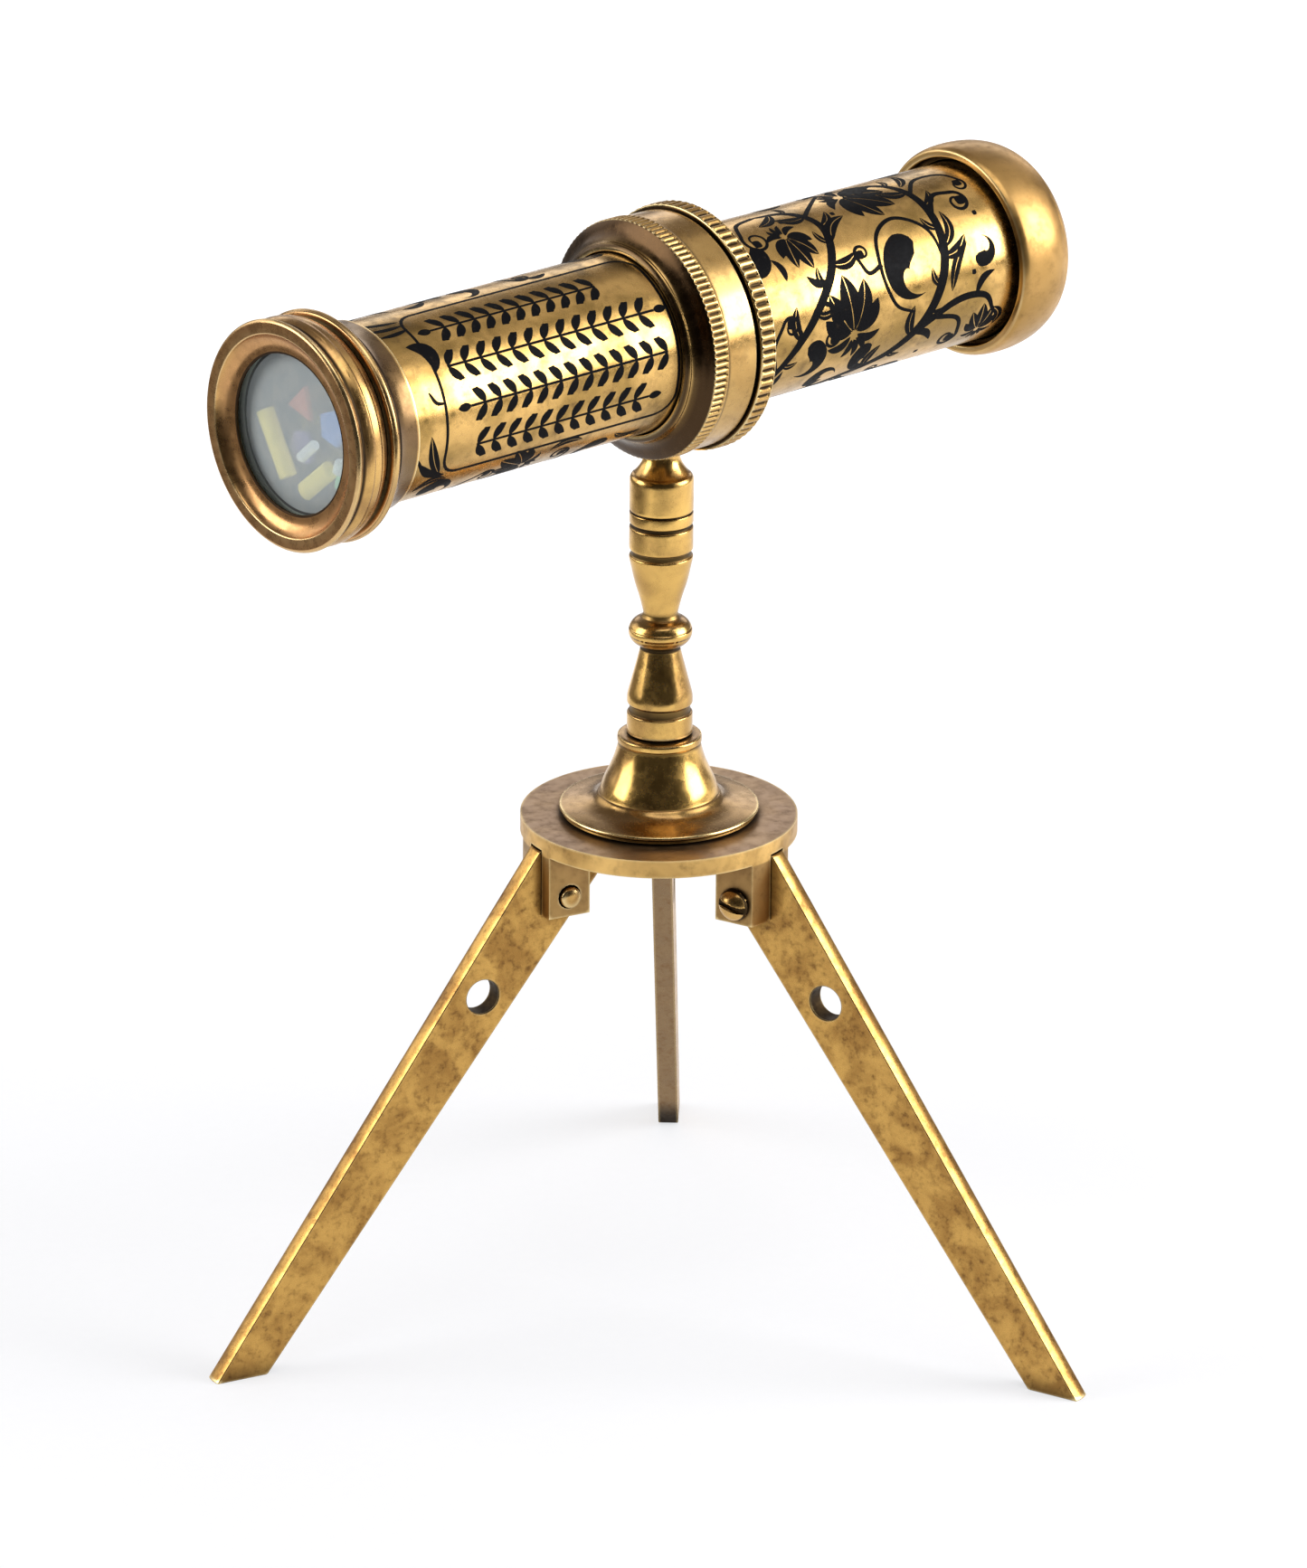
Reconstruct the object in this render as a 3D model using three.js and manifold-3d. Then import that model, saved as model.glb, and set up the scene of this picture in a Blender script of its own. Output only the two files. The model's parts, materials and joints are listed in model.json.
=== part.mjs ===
// A brass desk kaleidoscope, held by a turning collar on a turned post over a folding tripod.
// Units are millimetres and +Z is up. The part stands on Z = 0 and the post axis is vertical.
// The barrel's own axis is its local Z: negative stations lie towards the object cell, positive
// ones towards the eyepiece, and station 0 is over the post.
import * as THREE from 'three';
import { mergeVertices } from 'three/addons/utils/BufferGeometryUtils.js';
import Module from 'manifold-3d';

const wasm = await Module();
wasm.setup();

// ---- driving dimensions -------------------------------------------------------------------
const GAP = 0.3;                  // left between pieces that touch

const DISC_R = 22.0;              // tripod head
const DISC_TOP = 82.7;
const DISC_THICK = 2.9;
const LUG_INNER_R = 14.4;
const LUG_HEAD_SIDE = 6.1;        // hinge-wise from the leg's mid-plane to the screw-head cheek's face
const LUG_TIP_SIDE = 3.9;         // and to the thinner cheek's face
const LUG_BOTTOM = 69.4;
const SLOT_ROOF = 80.5;
const PIVOT_R = 18.0;             // leg hinge, measured from the post axis
const PIVOT_Z = 72.7;

const LEG_THICK = 3.3;
const LEG_TOP_R = 22.3;           // outer top corner, which rests under the slot roof
const LEG_INNER_TOP_R = 13.4;     // where the inner edge passes the pivot's height
const FOOT_OUTER_R = 79.5;
const FOOT_INNER_R = 70.4;
const LEG_HOLE_R = 2.75;
const LEG_HOLE_AT = [32.1, 57.4];
const LEG_BEARINGS = { leg_left: 210, leg_right: -30, leg_back: 90 };

const SCREW_R = 1.7;              // leg pivot screw
const SCREW_HEAD_R = 2.6;
const SCREW_HEAD_TALL = 1.9;
const SCREW_PROUD = 0.9;          // screw end standing out of the far cheek

const BASE_SCREW_R = 2.0;         // screw up through the head into the post
const BASE_SCREW_HEAD_R = 3.8;
const BASE_SCREW_HEAD_TALL = 2.2;
const WASHER_R = 4.8;
const WASHER_THICK = 0.8;
const STUD_R = 1.5;               // stud joining the post and the collar
const STUD_DEEP = 8.0;            // its socket in the post
const STUD_TO_AXIS = 16.2;        // from its top to the barrel axis

const COLLAR_R = 19.0;            // plain band between the knurls
const FRONT_KNURL_R = 19.3;
const LOCK_RING_R = 19.8;
const COLLAR_SPIGOT_R = 16.8;  // spigot behind the collar, inside the lock ring

const AXIS_Z = 162.9;             // barrel axis above the ground
const BARREL_BEARING = 43.2;      // from +X to the eyepiece end, in degrees
const TUBE_R = 14.4;
const TUBE_WALL = 1.0;
const BORE_R = TUBE_R + GAP;      // everything that fits round the tube
const TUBE_FRONT = -66.9;
const TUBE_REAR = 68.8;
const CELL_FRONT = -77.4;         // front face of the object cell
const CAP_REAR = 74.9;            // rear face of the eyepiece cap
const GLASS_R = 15.0;             // discs in the object cell
const WINDOW_R = 12.6;            // opening in front of them
const CHAMBER_R = 13.2;
const EYE_HOLE_R = 4.5;
const EYE_DISC_R = 14.0;          // stop and window inside the cap

const MIRROR_WIDTH = 17.0;
const MIRROR_THICK = 1.5;
const MIRROR_INRADIUS = 5.0;      // from the barrel axis to each mirror's face
const MIRROR_FRONT = -65.6;
const MIRROR_REAR = 66.0;
const PACKING_LONG = 3.0;

const BARREL_SEGMENTS = 32;
const POST_SEGMENTS = 22;
const SCREW_SEGMENTS = 16;

const rad = THREE.MathUtils.degToRad;

// ---- materials ----------------------------------------------------------------------------
const finish = (color, roughness, metalness) =>
  new THREE.MeshStandardMaterial({ color, roughness, metalness });

const barrelBrass = finish(0xb08d4c, 0.38, 1.0);
const fittingBrass = finish(0xa67a3e, 0.32, 1.0);
const postBrass = finish(0xb5843f, 0.28, 1.0);
const legBrass = finish(0x9a7840, 0.42, 1.0);
const screwBrass = finish(0xb8923f, 0.3, 1.0);
const glass = finish(0xbfd0d4, 0.15, 0.0);
const mirrorGlass = finish(0xd8dde0, 0.03, 1.0);
const blackCard = finish(0x15130f, 0.9, 0.0);
const greyFelt = finish(0x4a463e, 0.95, 0.0);
const chipColours = {
  yellow: finish(0xe6c833, 0.3, 0.0),
  clear: finish(0xeaf2f2, 0.1, 0.0),
  orange: finish(0xe0652c, 0.3, 0.0),
  blue: finish(0x3565c4, 0.3, 0.0),
  violet: finish(0x6a5a9c, 0.3, 0.0),
  green: finish(0x49a882, 0.3, 0.0),
};

// ---- solids -------------------------------------------------------------------------------
// A closed geometry as a solid that can be joined and cut.
function toSolid(geometry) {
  geometry.deleteAttribute('normal');
  geometry.deleteAttribute('uv');
  const merged = mergeVertices(geometry, 1e-4);
  const corners = merged.attributes.position.array;
  const faces = [];
  let volume = 0;
  const [a, b, c] = [new THREE.Vector3(), new THREE.Vector3(), new THREE.Vector3()];
  for (let i = 0; i < merged.index.count; i += 3) {
    const [i0, i1, i2] = [0, 1, 2].map((k) => merged.index.getX(i + k));
    if (i0 === i1 || i1 === i2 || i2 === i0) continue;
    faces.push(i0, i1, i2);
    a.fromArray(corners, i0 * 3);
    b.fromArray(corners, i1 * 3);
    c.fromArray(corners, i2 * 3);
    volume += a.dot(b.cross(c));
  }
  if (volume < 0) faces.reverse();
  return new wasm.Manifold(new wasm.Mesh({
    numProp: 3,
    vertProperties: new Float32Array(corners),
    triVerts: new Uint32Array(faces),
  }));
}

// A solid back as a geometry, with flat faces.
function toGeometry(solid) {
  const mesh = solid.getMesh();
  const geometry = new THREE.BufferGeometry();
  geometry.setAttribute('position', new THREE.BufferAttribute(mesh.vertProperties, 3));
  geometry.setIndex(new THREE.BufferAttribute(mesh.triVerts, 1));
  geometry.computeVertexNormals();
  return geometry;
}

// Turned form about Z from [radius, height] points; a bored form's outline closes on itself.
function turned(outline, segments) {
  const points = outline.map(([r, z]) => new THREE.Vector2(r, z));
  if (outline[0][0] > 0) points.push(points[0].clone());
  const geometry = new THREE.LatheGeometry(points, segments);
  geometry.rotateX(Math.PI / 2);
  return toSolid(geometry);
}

// Ring or disc between two heights.
const disc = (outerR, low, high, segments) =>
  turned([[0, low], [outerR, low], [outerR, high], [0, high]], segments);
const ring = (innerR, outerR, low, high, segments) =>
  turned([[innerR, low], [outerR, low], [outerR, high], [innerR, high]], segments);

// Prism of a flat outline, from z = 0 upwards.
function prism(shape, height, curveSegments = 8) {
  return toSolid(new THREE.ExtrudeGeometry(shape, { depth: height, bevelEnabled: false, curveSegments }));
}

const shapeFrom = (points) => new THREE.Shape(points.map(([x, y]) => new THREE.Vector2(x, y)));

// Points on a circular arc in a turned outline, from one angle to the other in degrees.
function arc(centreR, centreZ, radius, from, to, steps) {
  return Array.from({ length: steps + 1 }, (_, i) => {
    const angle = rad(from + ((to - from) * i) / steps);
    return [centreR + radius * Math.cos(angle), centreZ + radius * Math.sin(angle)];
  });
}

function piece(name, solid, material) {
  const mesh = new THREE.Mesh(toGeometry(solid), material);
  mesh.name = name;
  return mesh;
}

// ---- tripod -------------------------------------------------------------------------------
// Pieces of one leg station are made with the radial direction along +X and the hinge along Y.
const lugY = (solid) => solid.rotate([90, 0, 0]);

function tripodHead() {
  const underside = DISC_TOP - DISC_THICK;
  let head = disc(DISC_R, underside, DISC_TOP, 72);
  const rim = disc(DISC_R, LUG_BOTTOM - 1, DISC_TOP, 72);
  const lugTall = underside + 0.5 - LUG_BOTTOM;
  const lugMiddleY = (LUG_TIP_SIDE - LUG_HEAD_SIDE) / 2;
  const slotWidth = LEG_THICK + 0.4;
  const slotInnerR = LUG_INNER_R - 2;
  for (const bearing of Object.values(LEG_BEARINGS)) {
    const block = new THREE.BoxGeometry(DISC_R - LUG_INNER_R + 1, LUG_HEAD_SIDE + LUG_TIP_SIDE, lugTall);
    block.translate((DISC_R + LUG_INNER_R + 1) / 2, lugMiddleY, LUG_BOTTOM + lugTall / 2);
    const slot = new THREE.BoxGeometry(DISC_R, slotWidth, SLOT_ROOF - LUG_BOTTOM + 1);
    slot.translate(slotInnerR + DISC_R / 2, 0, (SLOT_ROOF + LUG_BOTTOM - 1) / 2);
    const hole = lugY(disc(SCREW_R + GAP, -LUG_TIP_SIDE - 1, LUG_HEAD_SIDE + 1, SCREW_SEGMENTS))
      .translate([PIVOT_R, 0, PIVOT_Z]);
    const lug = toSolid(block).intersect(rim).rotate([0, 0, bearing]);
    head = head.add(lug);
    head = head.subtract(toSolid(slot).rotate([0, 0, bearing]));
    head = head.subtract(hole.rotate([0, 0, bearing]));
  }
  return head.subtract(disc(BASE_SCREW_R + GAP, underside - 1, DISC_TOP + 1, SCREW_SEGMENTS));
}

// Flat tapering bar: its edges run from the foot to the top corner and past the pivot.
function leg() {
  const topZ = SLOT_ROOF - GAP;
  const topRadius = topZ - PIVOT_Z;
  const lean = Math.atan2(PIVOT_Z, LEG_INNER_TOP_R - FOOT_INNER_R);
  const edgeGap = (PIVOT_R - LEG_INNER_TOP_R) * Math.sin(lean);
  const arcEnd = lean + Math.PI / 2 - Math.acos(edgeGap / topRadius);
  const outline = new THREE.Shape();
  outline.moveTo(FOOT_INNER_R, 0);
  outline.lineTo(FOOT_OUTER_R, 0);
  outline.lineTo(LEG_TOP_R, topZ);
  outline.lineTo(PIVOT_R, topZ);
  outline.absarc(PIVOT_R, PIVOT_Z, topRadius, Math.PI / 2, arcEnd, false);
  const cut = (x, y, r) => {
    const hole = new THREE.Path();
    hole.absarc(x, y, r, 0, Math.PI * 2, true);
    outline.holes.push(hole);
  };
  cut(LEG_HOLE_AT[0], LEG_HOLE_AT[1], LEG_HOLE_R);
  cut(PIVOT_R, PIVOT_Z, SCREW_R + GAP);
  return lugY(prism(outline, LEG_THICK)).translate([0, LEG_THICK / 2, 0]);
}

// Slotted round-headed screw: its head is on the clockwise cheek and its end stands proud.
function pivotScrew() {
  const headBase = LUG_HEAD_SIDE + GAP;
  const dome = arc(0, headBase, 1, 0, 90, 4).map(([c, s]) =>
    [c * SCREW_HEAD_R, headBase + (s - headBase) * SCREW_HEAD_TALL]);
  dome[dome.length - 1][0] = 0;
  const tip = -LUG_TIP_SIDE - SCREW_PROUD;
  const body = turned([[0, tip], [SCREW_R - 0.3, tip], [SCREW_R, tip + 0.3], [SCREW_R, headBase], ...dome],
    SCREW_SEGMENTS);
  const driverSlot = new THREE.BoxGeometry(SCREW_HEAD_R * 3, 0.7, 0.9);
  driverSlot.translate(0, 0, headBase + SCREW_HEAD_TALL);
  const cut = toSolid(driverSlot).rotate([0, 0, 20]);
  return lugY(body.subtract(cut)).translate([PIVOT_R, 0, PIVOT_Z]);
}

function tripod() {
  const group = new THREE.Group();
  group.add(piece('tripod_head', tripodHead(), legBrass));
  for (const [name, bearing] of Object.entries(LEG_BEARINGS)) {
    const station = new THREE.Group();
    station.rotation.z = rad(bearing);
    station.add(piece(name, leg(), legBrass));
    station.add(piece(name.replace('leg', 'pivot_screw'), pivotScrew(), screwBrass));
    group.add(station);
  }
  return group;
}

// ---- post ---------------------------------------------------------------------------------
const POST_BOTTOM = DISC_TOP + GAP;
const BELL_TOP = 96.1;
const STEM_BOTTOM = BELL_TOP + GAP;
const STEM_TOP = 143.6;
const SPIGOT_R = 3.0;
const SPIGOT_LONG = 5.0;

function postBase() {
  const outline = [
    [BASE_SCREW_R + GAP, POST_BOTTOM], [15.5, POST_BOTTOM], [15.3, 83.5], [15.9, 83.8], [15.8, 84.2],
    [14.2, 84.45], [12.6, 84.65], [11.3, 84.95], [10.3, 85.5], [9.75, 86.15], [9.45, 86.35],
    [9.2, 87.4], [8.7, 88.7], [8.0, 90.1], [7.35, 91.6], [6.85, 93.2], [6.5, 94.7],
    [6.7, 94.9], [6.7, 95.8], [6.4, BELL_TOP],
    [SPIGOT_R + GAP, BELL_TOP], [SPIGOT_R + GAP, BELL_TOP - SPIGOT_LONG - GAP],
    [BASE_SCREW_R + GAP, BELL_TOP - SPIGOT_LONG - GAP],
  ];
  return turned(outline, POST_SEGMENTS);
}

// Turned column: spigot, drum, cone, bead, vase, two banded drums and a flared neck.
function postStem() {
  const spigotEnd = BELL_TOP - SPIGOT_LONG;
  const outline = [
    [0, spigotEnd], [SPIGOT_R, spigotEnd], [SPIGOT_R, STEM_BOTTOM],
    [5.2, STEM_BOTTOM], [5.2, 99.7], [4.8, 99.9], [4.8, 101.1], [5.2, 101.4], [5.2, 102.6],
    [3.1, 110.7], [3.3, 111.0], ...arc(2.8, 113.3, 2.3, -80, 80, 6), [3.0, 115.8],
    [2.7, 116.3], [3.3, 118.9], [4.2, 121.6], [5.05, 125.6], [5.05, 126.0], [4.75, 126.2], [4.75, 127.0],
    [5.05, 127.2], [5.05, 130.8], [4.75, 131.0], [4.75, 131.4], [5.05, 131.6],
    [5.05, 139.2], [4.1, 140.0], [3.2, 141.3], [2.8, 142.5], [2.8, STEM_TOP],
    [STUD_R + GAP, STEM_TOP], [STUD_R + GAP, STEM_TOP - STUD_DEEP], [0, STEM_TOP - STUD_DEEP],
  ];
  return turned(outline, POST_SEGMENTS);
}

function baseWasher() {
  const top = DISC_TOP - DISC_THICK - GAP;
  return ring(BASE_SCREW_R + GAP, WASHER_R, top - WASHER_THICK, top, 20);
}

function baseScrew() {
  const headTop = DISC_TOP - DISC_THICK - WASHER_THICK - GAP * 2;
  const headBottom = headTop - BASE_SCREW_HEAD_TALL;
  const tip = BELL_TOP - SPIGOT_LONG - GAP * 2;
  const body = turned([
    [0, headBottom], [BASE_SCREW_HEAD_R - 0.5, headBottom], [BASE_SCREW_HEAD_R, headBottom + 0.6],
    [BASE_SCREW_HEAD_R, headTop], [BASE_SCREW_R, headTop], [BASE_SCREW_R, tip], [0, tip],
  ], 20);
  const driverSlot = new THREE.BoxGeometry(9, 1.0, 1.8);
  driverSlot.translate(0, 0, headBottom);
  return body.subtract(toSolid(driverSlot));
}

function post() {
  const group = new THREE.Group();
  group.add(piece('post_base', postBase(), postBrass));
  group.add(piece('post_stem', postStem(), postBrass));
  group.add(piece('base_washer', baseWasher(), screwBrass));
  group.add(piece('base_screw', baseScrew(), screwBrass));
  return group;
}

// ---- collar -------------------------------------------------------------------------------
const STUD_BOTTOM = STEM_TOP - STUD_DEEP + GAP;
const STUD_TOP = AXIS_Z - STUD_TO_AXIS;

// Cove, front knurl and plain band, with a spigot behind for the lock ring.
function collarBody() {
  const outline = [
    [BORE_R, -8.9], [15.3, -8.9], [15.9, -8.5], [16.1, -7.9], [17.1, -7.0], [18.6, -6.4],
    [FRONT_KNURL_R, -6.0], [FRONT_KNURL_R, -3.3], [COLLAR_R, -3.1], [COLLAR_R, 2.7],
    [COLLAR_R - 0.3, 2.9], [COLLAR_SPIGOT_R, 2.9], [COLLAR_SPIGOT_R, 4.2], [BORE_R, 4.2],
  ];
  const studHole = disc(STUD_R + GAP, STUD_TO_AXIS - GAP, COLLAR_R + 10, SCREW_SEGMENTS);
  const seat = disc(3.6, COLLAR_R - 0.1, COLLAR_R + 10, POST_SEGMENTS);
  return turned(outline, BARREL_SEGMENTS).subtract(studHole.add(seat).rotate([0, 90, 0]));
}

function lockRing() {
  return turned([
    [COLLAR_SPIGOT_R + GAP, 3.2], [LOCK_RING_R - 0.2, 3.2], [LOCK_RING_R, 3.5], [LOCK_RING_R, 6.0],
    [LOCK_RING_R - 0.3, 6.2], [BORE_R, 6.2], [BORE_R, 5.5], [COLLAR_SPIGOT_R + GAP, 5.5],
  ], BARREL_SEGMENTS);
}

// Upright stud, which screws into the collar and turns in the post's socket.
function collarStud() {
  return disc(STUD_R, STUD_BOTTOM, STUD_TOP, SCREW_SEGMENTS);
}

// ---- barrel -------------------------------------------------------------------------------
function ferrule() {
  return turned([
    [16.5, -70.2], [17.8, -70.2], [18.2, -69.9], [18.3, -69.4], [18.15, -69.0], [17.5, -68.7],
    [16.7, -68.0], [16.1, -67.1], [15.65, -66.0], [15.35, -64.7], [15.15, -63.4], [15.05, -62.4],
    [BORE_R, -62.4],
    [BORE_R, TUBE_FRONT - GAP], [16.5, TUBE_FRONT - GAP],
  ], BARREL_SEGMENTS);
}

function eyepieceCap() {
  const mouth = 61.6;
  return turned([
    [15.4, mouth], [16.5, mouth], [16.95, 62.3], [17.15, 63.6], [17.2, 65.3], [17.1, 67.1],
    [16.8, 69.0], [16.25, 70.8], [15.35, 72.4], [14.0, 73.7], [12.2, 74.5], [10.2, CAP_REAR],
    [6.4, CAP_REAR],
    [EYE_HOLE_R + 0.6, 74.4], [EYE_HOLE_R, 73.6], [EYE_HOLE_R, 72.4], [BORE_R - 0.4, 72.4],
    [BORE_R - 0.4, TUBE_REAR + GAP], [BORE_R, TUBE_REAR + GAP], [BORE_R, 63.4], [15.4, 63.4],
  ], BARREL_SEGMENTS);
}

// One of the strips round the triangular light path, lying below the axis before it is turned.
function mirrorStrip() {
  const long = MIRROR_REAR - MIRROR_FRONT;
  const block = new THREE.BoxGeometry(MIRROR_WIDTH, MIRROR_THICK, long);
  block.translate(0, -MIRROR_INRADIUS - MIRROR_THICK / 2, (MIRROR_REAR + MIRROR_FRONT) / 2);
  return toSolid(block);
}

// Card ring that centres the three mirrors in the tube.
function mirrorPacking(low) {
  const high = low + PACKING_LONG;
  const half = MIRROR_WIDTH / 2 + GAP;
  const depth = MIRROR_INRADIUS + MIRROR_THICK + GAP;
  const corners = [0, 120, 240].flatMap((turn) => [[-half, -depth], [half, -depth]].map(([x, y]) => {
    const [c, s] = [Math.cos(rad(turn)), Math.sin(rad(turn))];
    return [x * c - y * s, x * s + y * c];
  }));
  const opening = prism(shapeFrom(corners), high - low + 2).translate([0, 0, low - 1]);
  return disc(TUBE_R - TUBE_WALL - GAP, low, high, BARREL_SEGMENTS).subtract(opening);
}

function barrel() {
  const stopRear = TUBE_REAR + 1.4;
  const windowRear = stopRear + 1.9;
  const group = new THREE.Group();
  const tube = ring(TUBE_R - TUBE_WALL, TUBE_R, TUBE_FRONT, TUBE_REAR, BARREL_SEGMENTS);
  group.add(piece('tube', tube, barrelBrass));
  group.add(piece('front_ferrule', ferrule(), fittingBrass));
  group.add(piece('eyepiece_cap', eyepieceCap(), fittingBrass));
  const stop = ring(EYE_HOLE_R - 0.5, EYE_DISC_R, TUBE_REAR + GAP, stopRear, BARREL_SEGMENTS);
  group.add(piece('eye_stop', stop, blackCard));
  const window = disc(EYE_DISC_R, stopRear + GAP, windowRear, BARREL_SEGMENTS);
  group.add(piece('eyepiece_window', window, glass));
  const lightPath = new THREE.Group();
  lightPath.rotation.z = Math.PI / 2;
  lightPath.add(piece('mirror_packing_front', mirrorPacking(MIRROR_FRONT + 1.1), blackCard));
  lightPath.add(piece('mirror_packing_rear', mirrorPacking(MIRROR_REAR - 1.5 - PACKING_LONG), blackCard));
  ['a', 'b', 'c'].forEach((letter, i) => {
    const strip = piece(`mirror_strip_${letter}`, mirrorStrip(), mirrorGlass);
    strip.rotation.z = rad(120 * i);
    lightPath.add(strip);
  });
  group.add(lightPath);
  return group;
}

// ---- object cell --------------------------------------------------------------------------
const LIP_BACK = -75.4;
const SLEEVE_BACK = -67.5;
const CHAMBER_FRONT = -73.8;
const CHAMBER_BACK = -69.6;
const INNER_GLASS_BACK = -68.7;

function cellRing() {
  return turned([
    [WINDOW_R, -75.85], [13.6, -75.85], [14.5, -76.05], [15.3, -76.5], [15.8, -77.05], [16.0, CELL_FRONT],
    [17.9, CELL_FRONT], [18.25, -77.0], [18.25, -76.7], [17.95, -76.35], [17.7, -76.0],
    ...arc(14.0, -73.5, 4.1, -31, 31, 6),
    [17.1, -70.8], [16.8, -70.5], [16.2, -70.5], [16.2, SLEEVE_BACK], [GLASS_R + GAP, SLEEVE_BACK],
    [GLASS_R + GAP, LIP_BACK], [WINDOW_R, LIP_BACK],
  ], BARREL_SEGMENTS);
}

// Loose pieces in the chamber. Across is towards the viewer's right and up is vertical, as seen
// from in front of the cell; layer is the station of the piece's middle.
const FRONT_LAYER = -72.3;
const BACK_LAYER = -70.35;
const SHARD_THICK = 0.9;
const STRIP_WIDENING = 1.45;
const CHIPS = {
  chip_yellow_long: { form: 'strip', r: 1.2, long: 11, across: -7.3, up: -4.1, tilt: -59, colour: 'yellow' },
  chip_yellow_short: { form: 'strip', r: 1.1, long: 8.0, across: 2.4, up: -7.6, tilt: 40, colour: 'yellow' },
  chip_clear_rod: { form: 'rod', r: 0.9, long: 4.4, across: 0.2, up: -3.4, tilt: 42, colour: 'clear' },
  chip_clear_bead: { form: 'rod', r: 1.1, long: 2.0, across: 7.9, up: -4.0, tilt: 70, colour: 'clear' },
  chip_orange: { form: 'shard', sides: 3, r: 3.2, across: -3.4, up: 2.9, tilt: 15, colour: 'orange' },
  chip_blue: { form: 'shard', sides: 5, r: 3.1, across: 3.9, up: 0.9, tilt: 40, colour: 'blue' },
  chip_violet: { form: 'shard', sides: 6, r: 2.9, across: -3.2, up: -4.1, tilt: 10, colour: 'violet' },
  chip_green: { form: 'shard', sides: 4, r: 2.9, across: 7.0, up: -7.0, tilt: 30, colour: 'green' },
};

// In the barrel's frame the vertical is local -X and the viewer's right is local -Y. A strip is a
// rod widened across its length.
function chip({ form, r, long, sides, across, up, tilt }) {
  if (form !== 'shard') {
    const wide = form === 'strip' ? STRIP_WIDENING : 1;
    const rod = disc(r, -long / 2, long / 2, 10).rotate([0, 90, 0]).scale([1, wide, 1]);
    return rod.rotate([0, 0, 90 - tilt]).translate([-up, -across, FRONT_LAYER]);
  }
  const corners = Array.from({ length: sides }, (_, i) => {
    const angle = rad(90 - tilt) + (i / sides) * Math.PI * 2;
    return [-up + r * Math.cos(angle), -across + r * Math.sin(angle)];
  });
  return prism(shapeFrom(corners), SHARD_THICK).translate([0, 0, BACK_LAYER - SHARD_THICK / 2]);
}

function objectCell() {
  const group = new THREE.Group();
  const frontGlass = disc(GLASS_R, LIP_BACK + GAP, CHAMBER_FRONT, 36);
  const innerGlass = disc(GLASS_R, CHAMBER_BACK, INNER_GLASS_BACK, 36);
  const spacer = ring(CHAMBER_R, GLASS_R, CHAMBER_FRONT + GAP, CHAMBER_BACK - GAP, 36);
  const retainer = ring(CHAMBER_R - 0.4, GLASS_R, INNER_GLASS_BACK + GAP, SLEEVE_BACK - 0.1, 36);
  group.add(piece('cell_ring', cellRing(), fittingBrass));
  group.add(piece('front_glass', frontGlass, glass));
  group.add(piece('inner_glass', innerGlass, glass));
  group.add(piece('cell_spacer', spacer, blackCard));
  group.add(piece('cell_retaining_ring', retainer, fittingBrass));
  for (const [name, form] of Object.entries(CHIPS)) {
    group.add(piece(name, chip(form), chipColours[form.colour]));
  }
  return group;
}

// ---- assembly -----------------------------------------------------------------------------
// Turns the barrel's local Z to lie level at its bearing, with local -X upwards.
function levelled(...children) {
  const lying = new THREE.Group();
  lying.rotation.y = Math.PI / 2;
  lying.add(...children);
  const swung = new THREE.Group();
  swung.rotation.z = rad(BARREL_BEARING);
  swung.position.z = AXIS_Z;
  swung.add(lying);
  return swung;
}

const collarPieces = [
  piece('collar_body', collarBody(), fittingBrass),
  piece('collar_lock_ring', lockRing(), fittingBrass),
  piece('collar_felt', ring(BORE_R, COLLAR_SPIGOT_R - 0.2, 4.5, 5.2, BARREL_SEGMENTS), greyFelt),
];

const group = new THREE.Group();
group.add(tripod());
group.add(post());
group.add(piece('collar_stud', collarStud(), screwBrass));
group.add(levelled(...collarPieces, barrel(), objectCell()));

// The origin is the middle of the part's own box, on the surface that it stands on.
const box = new THREE.Box3().setFromObject(group, true);
const middle = box.getCenter(new THREE.Vector3());
group.position.set(-middle.x, -middle.y, -box.min.z);

export default group;
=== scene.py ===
"""Looks of a brass desk kaleidoscope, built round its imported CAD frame.

Turned pieces are spun finely from the section of their own CAD node, in a frame whose local Z is
the axis they turn on. Ornament is laid out flat, as (station, girth) in millimetres, and wrapped
on the tube: girth 0 faces the front of the stand and grows upwards.
"""
import json
from math import atan2, ceil, copysign, cos, degrees, exp, hypot, pi, radians, sin, sqrt

import bmesh
import bpy
from mathutils import Matrix, Vector


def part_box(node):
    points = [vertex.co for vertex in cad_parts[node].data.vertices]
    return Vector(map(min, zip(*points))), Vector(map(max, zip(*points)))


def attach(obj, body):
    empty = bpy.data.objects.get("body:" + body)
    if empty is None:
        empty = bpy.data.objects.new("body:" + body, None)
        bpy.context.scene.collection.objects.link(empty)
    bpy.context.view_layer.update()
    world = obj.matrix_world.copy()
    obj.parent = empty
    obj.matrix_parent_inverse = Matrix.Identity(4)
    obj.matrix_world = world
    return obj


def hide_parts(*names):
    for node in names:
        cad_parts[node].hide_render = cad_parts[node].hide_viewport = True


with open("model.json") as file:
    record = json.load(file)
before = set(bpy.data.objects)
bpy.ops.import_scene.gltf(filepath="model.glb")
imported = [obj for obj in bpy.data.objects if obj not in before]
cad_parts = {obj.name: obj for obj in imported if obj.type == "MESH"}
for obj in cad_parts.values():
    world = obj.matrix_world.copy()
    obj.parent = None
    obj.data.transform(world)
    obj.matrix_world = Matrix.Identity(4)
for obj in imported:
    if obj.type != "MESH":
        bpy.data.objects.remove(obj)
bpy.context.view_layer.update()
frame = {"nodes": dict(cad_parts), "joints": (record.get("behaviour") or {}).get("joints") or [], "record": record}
SCENE = bpy.context.scene

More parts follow.
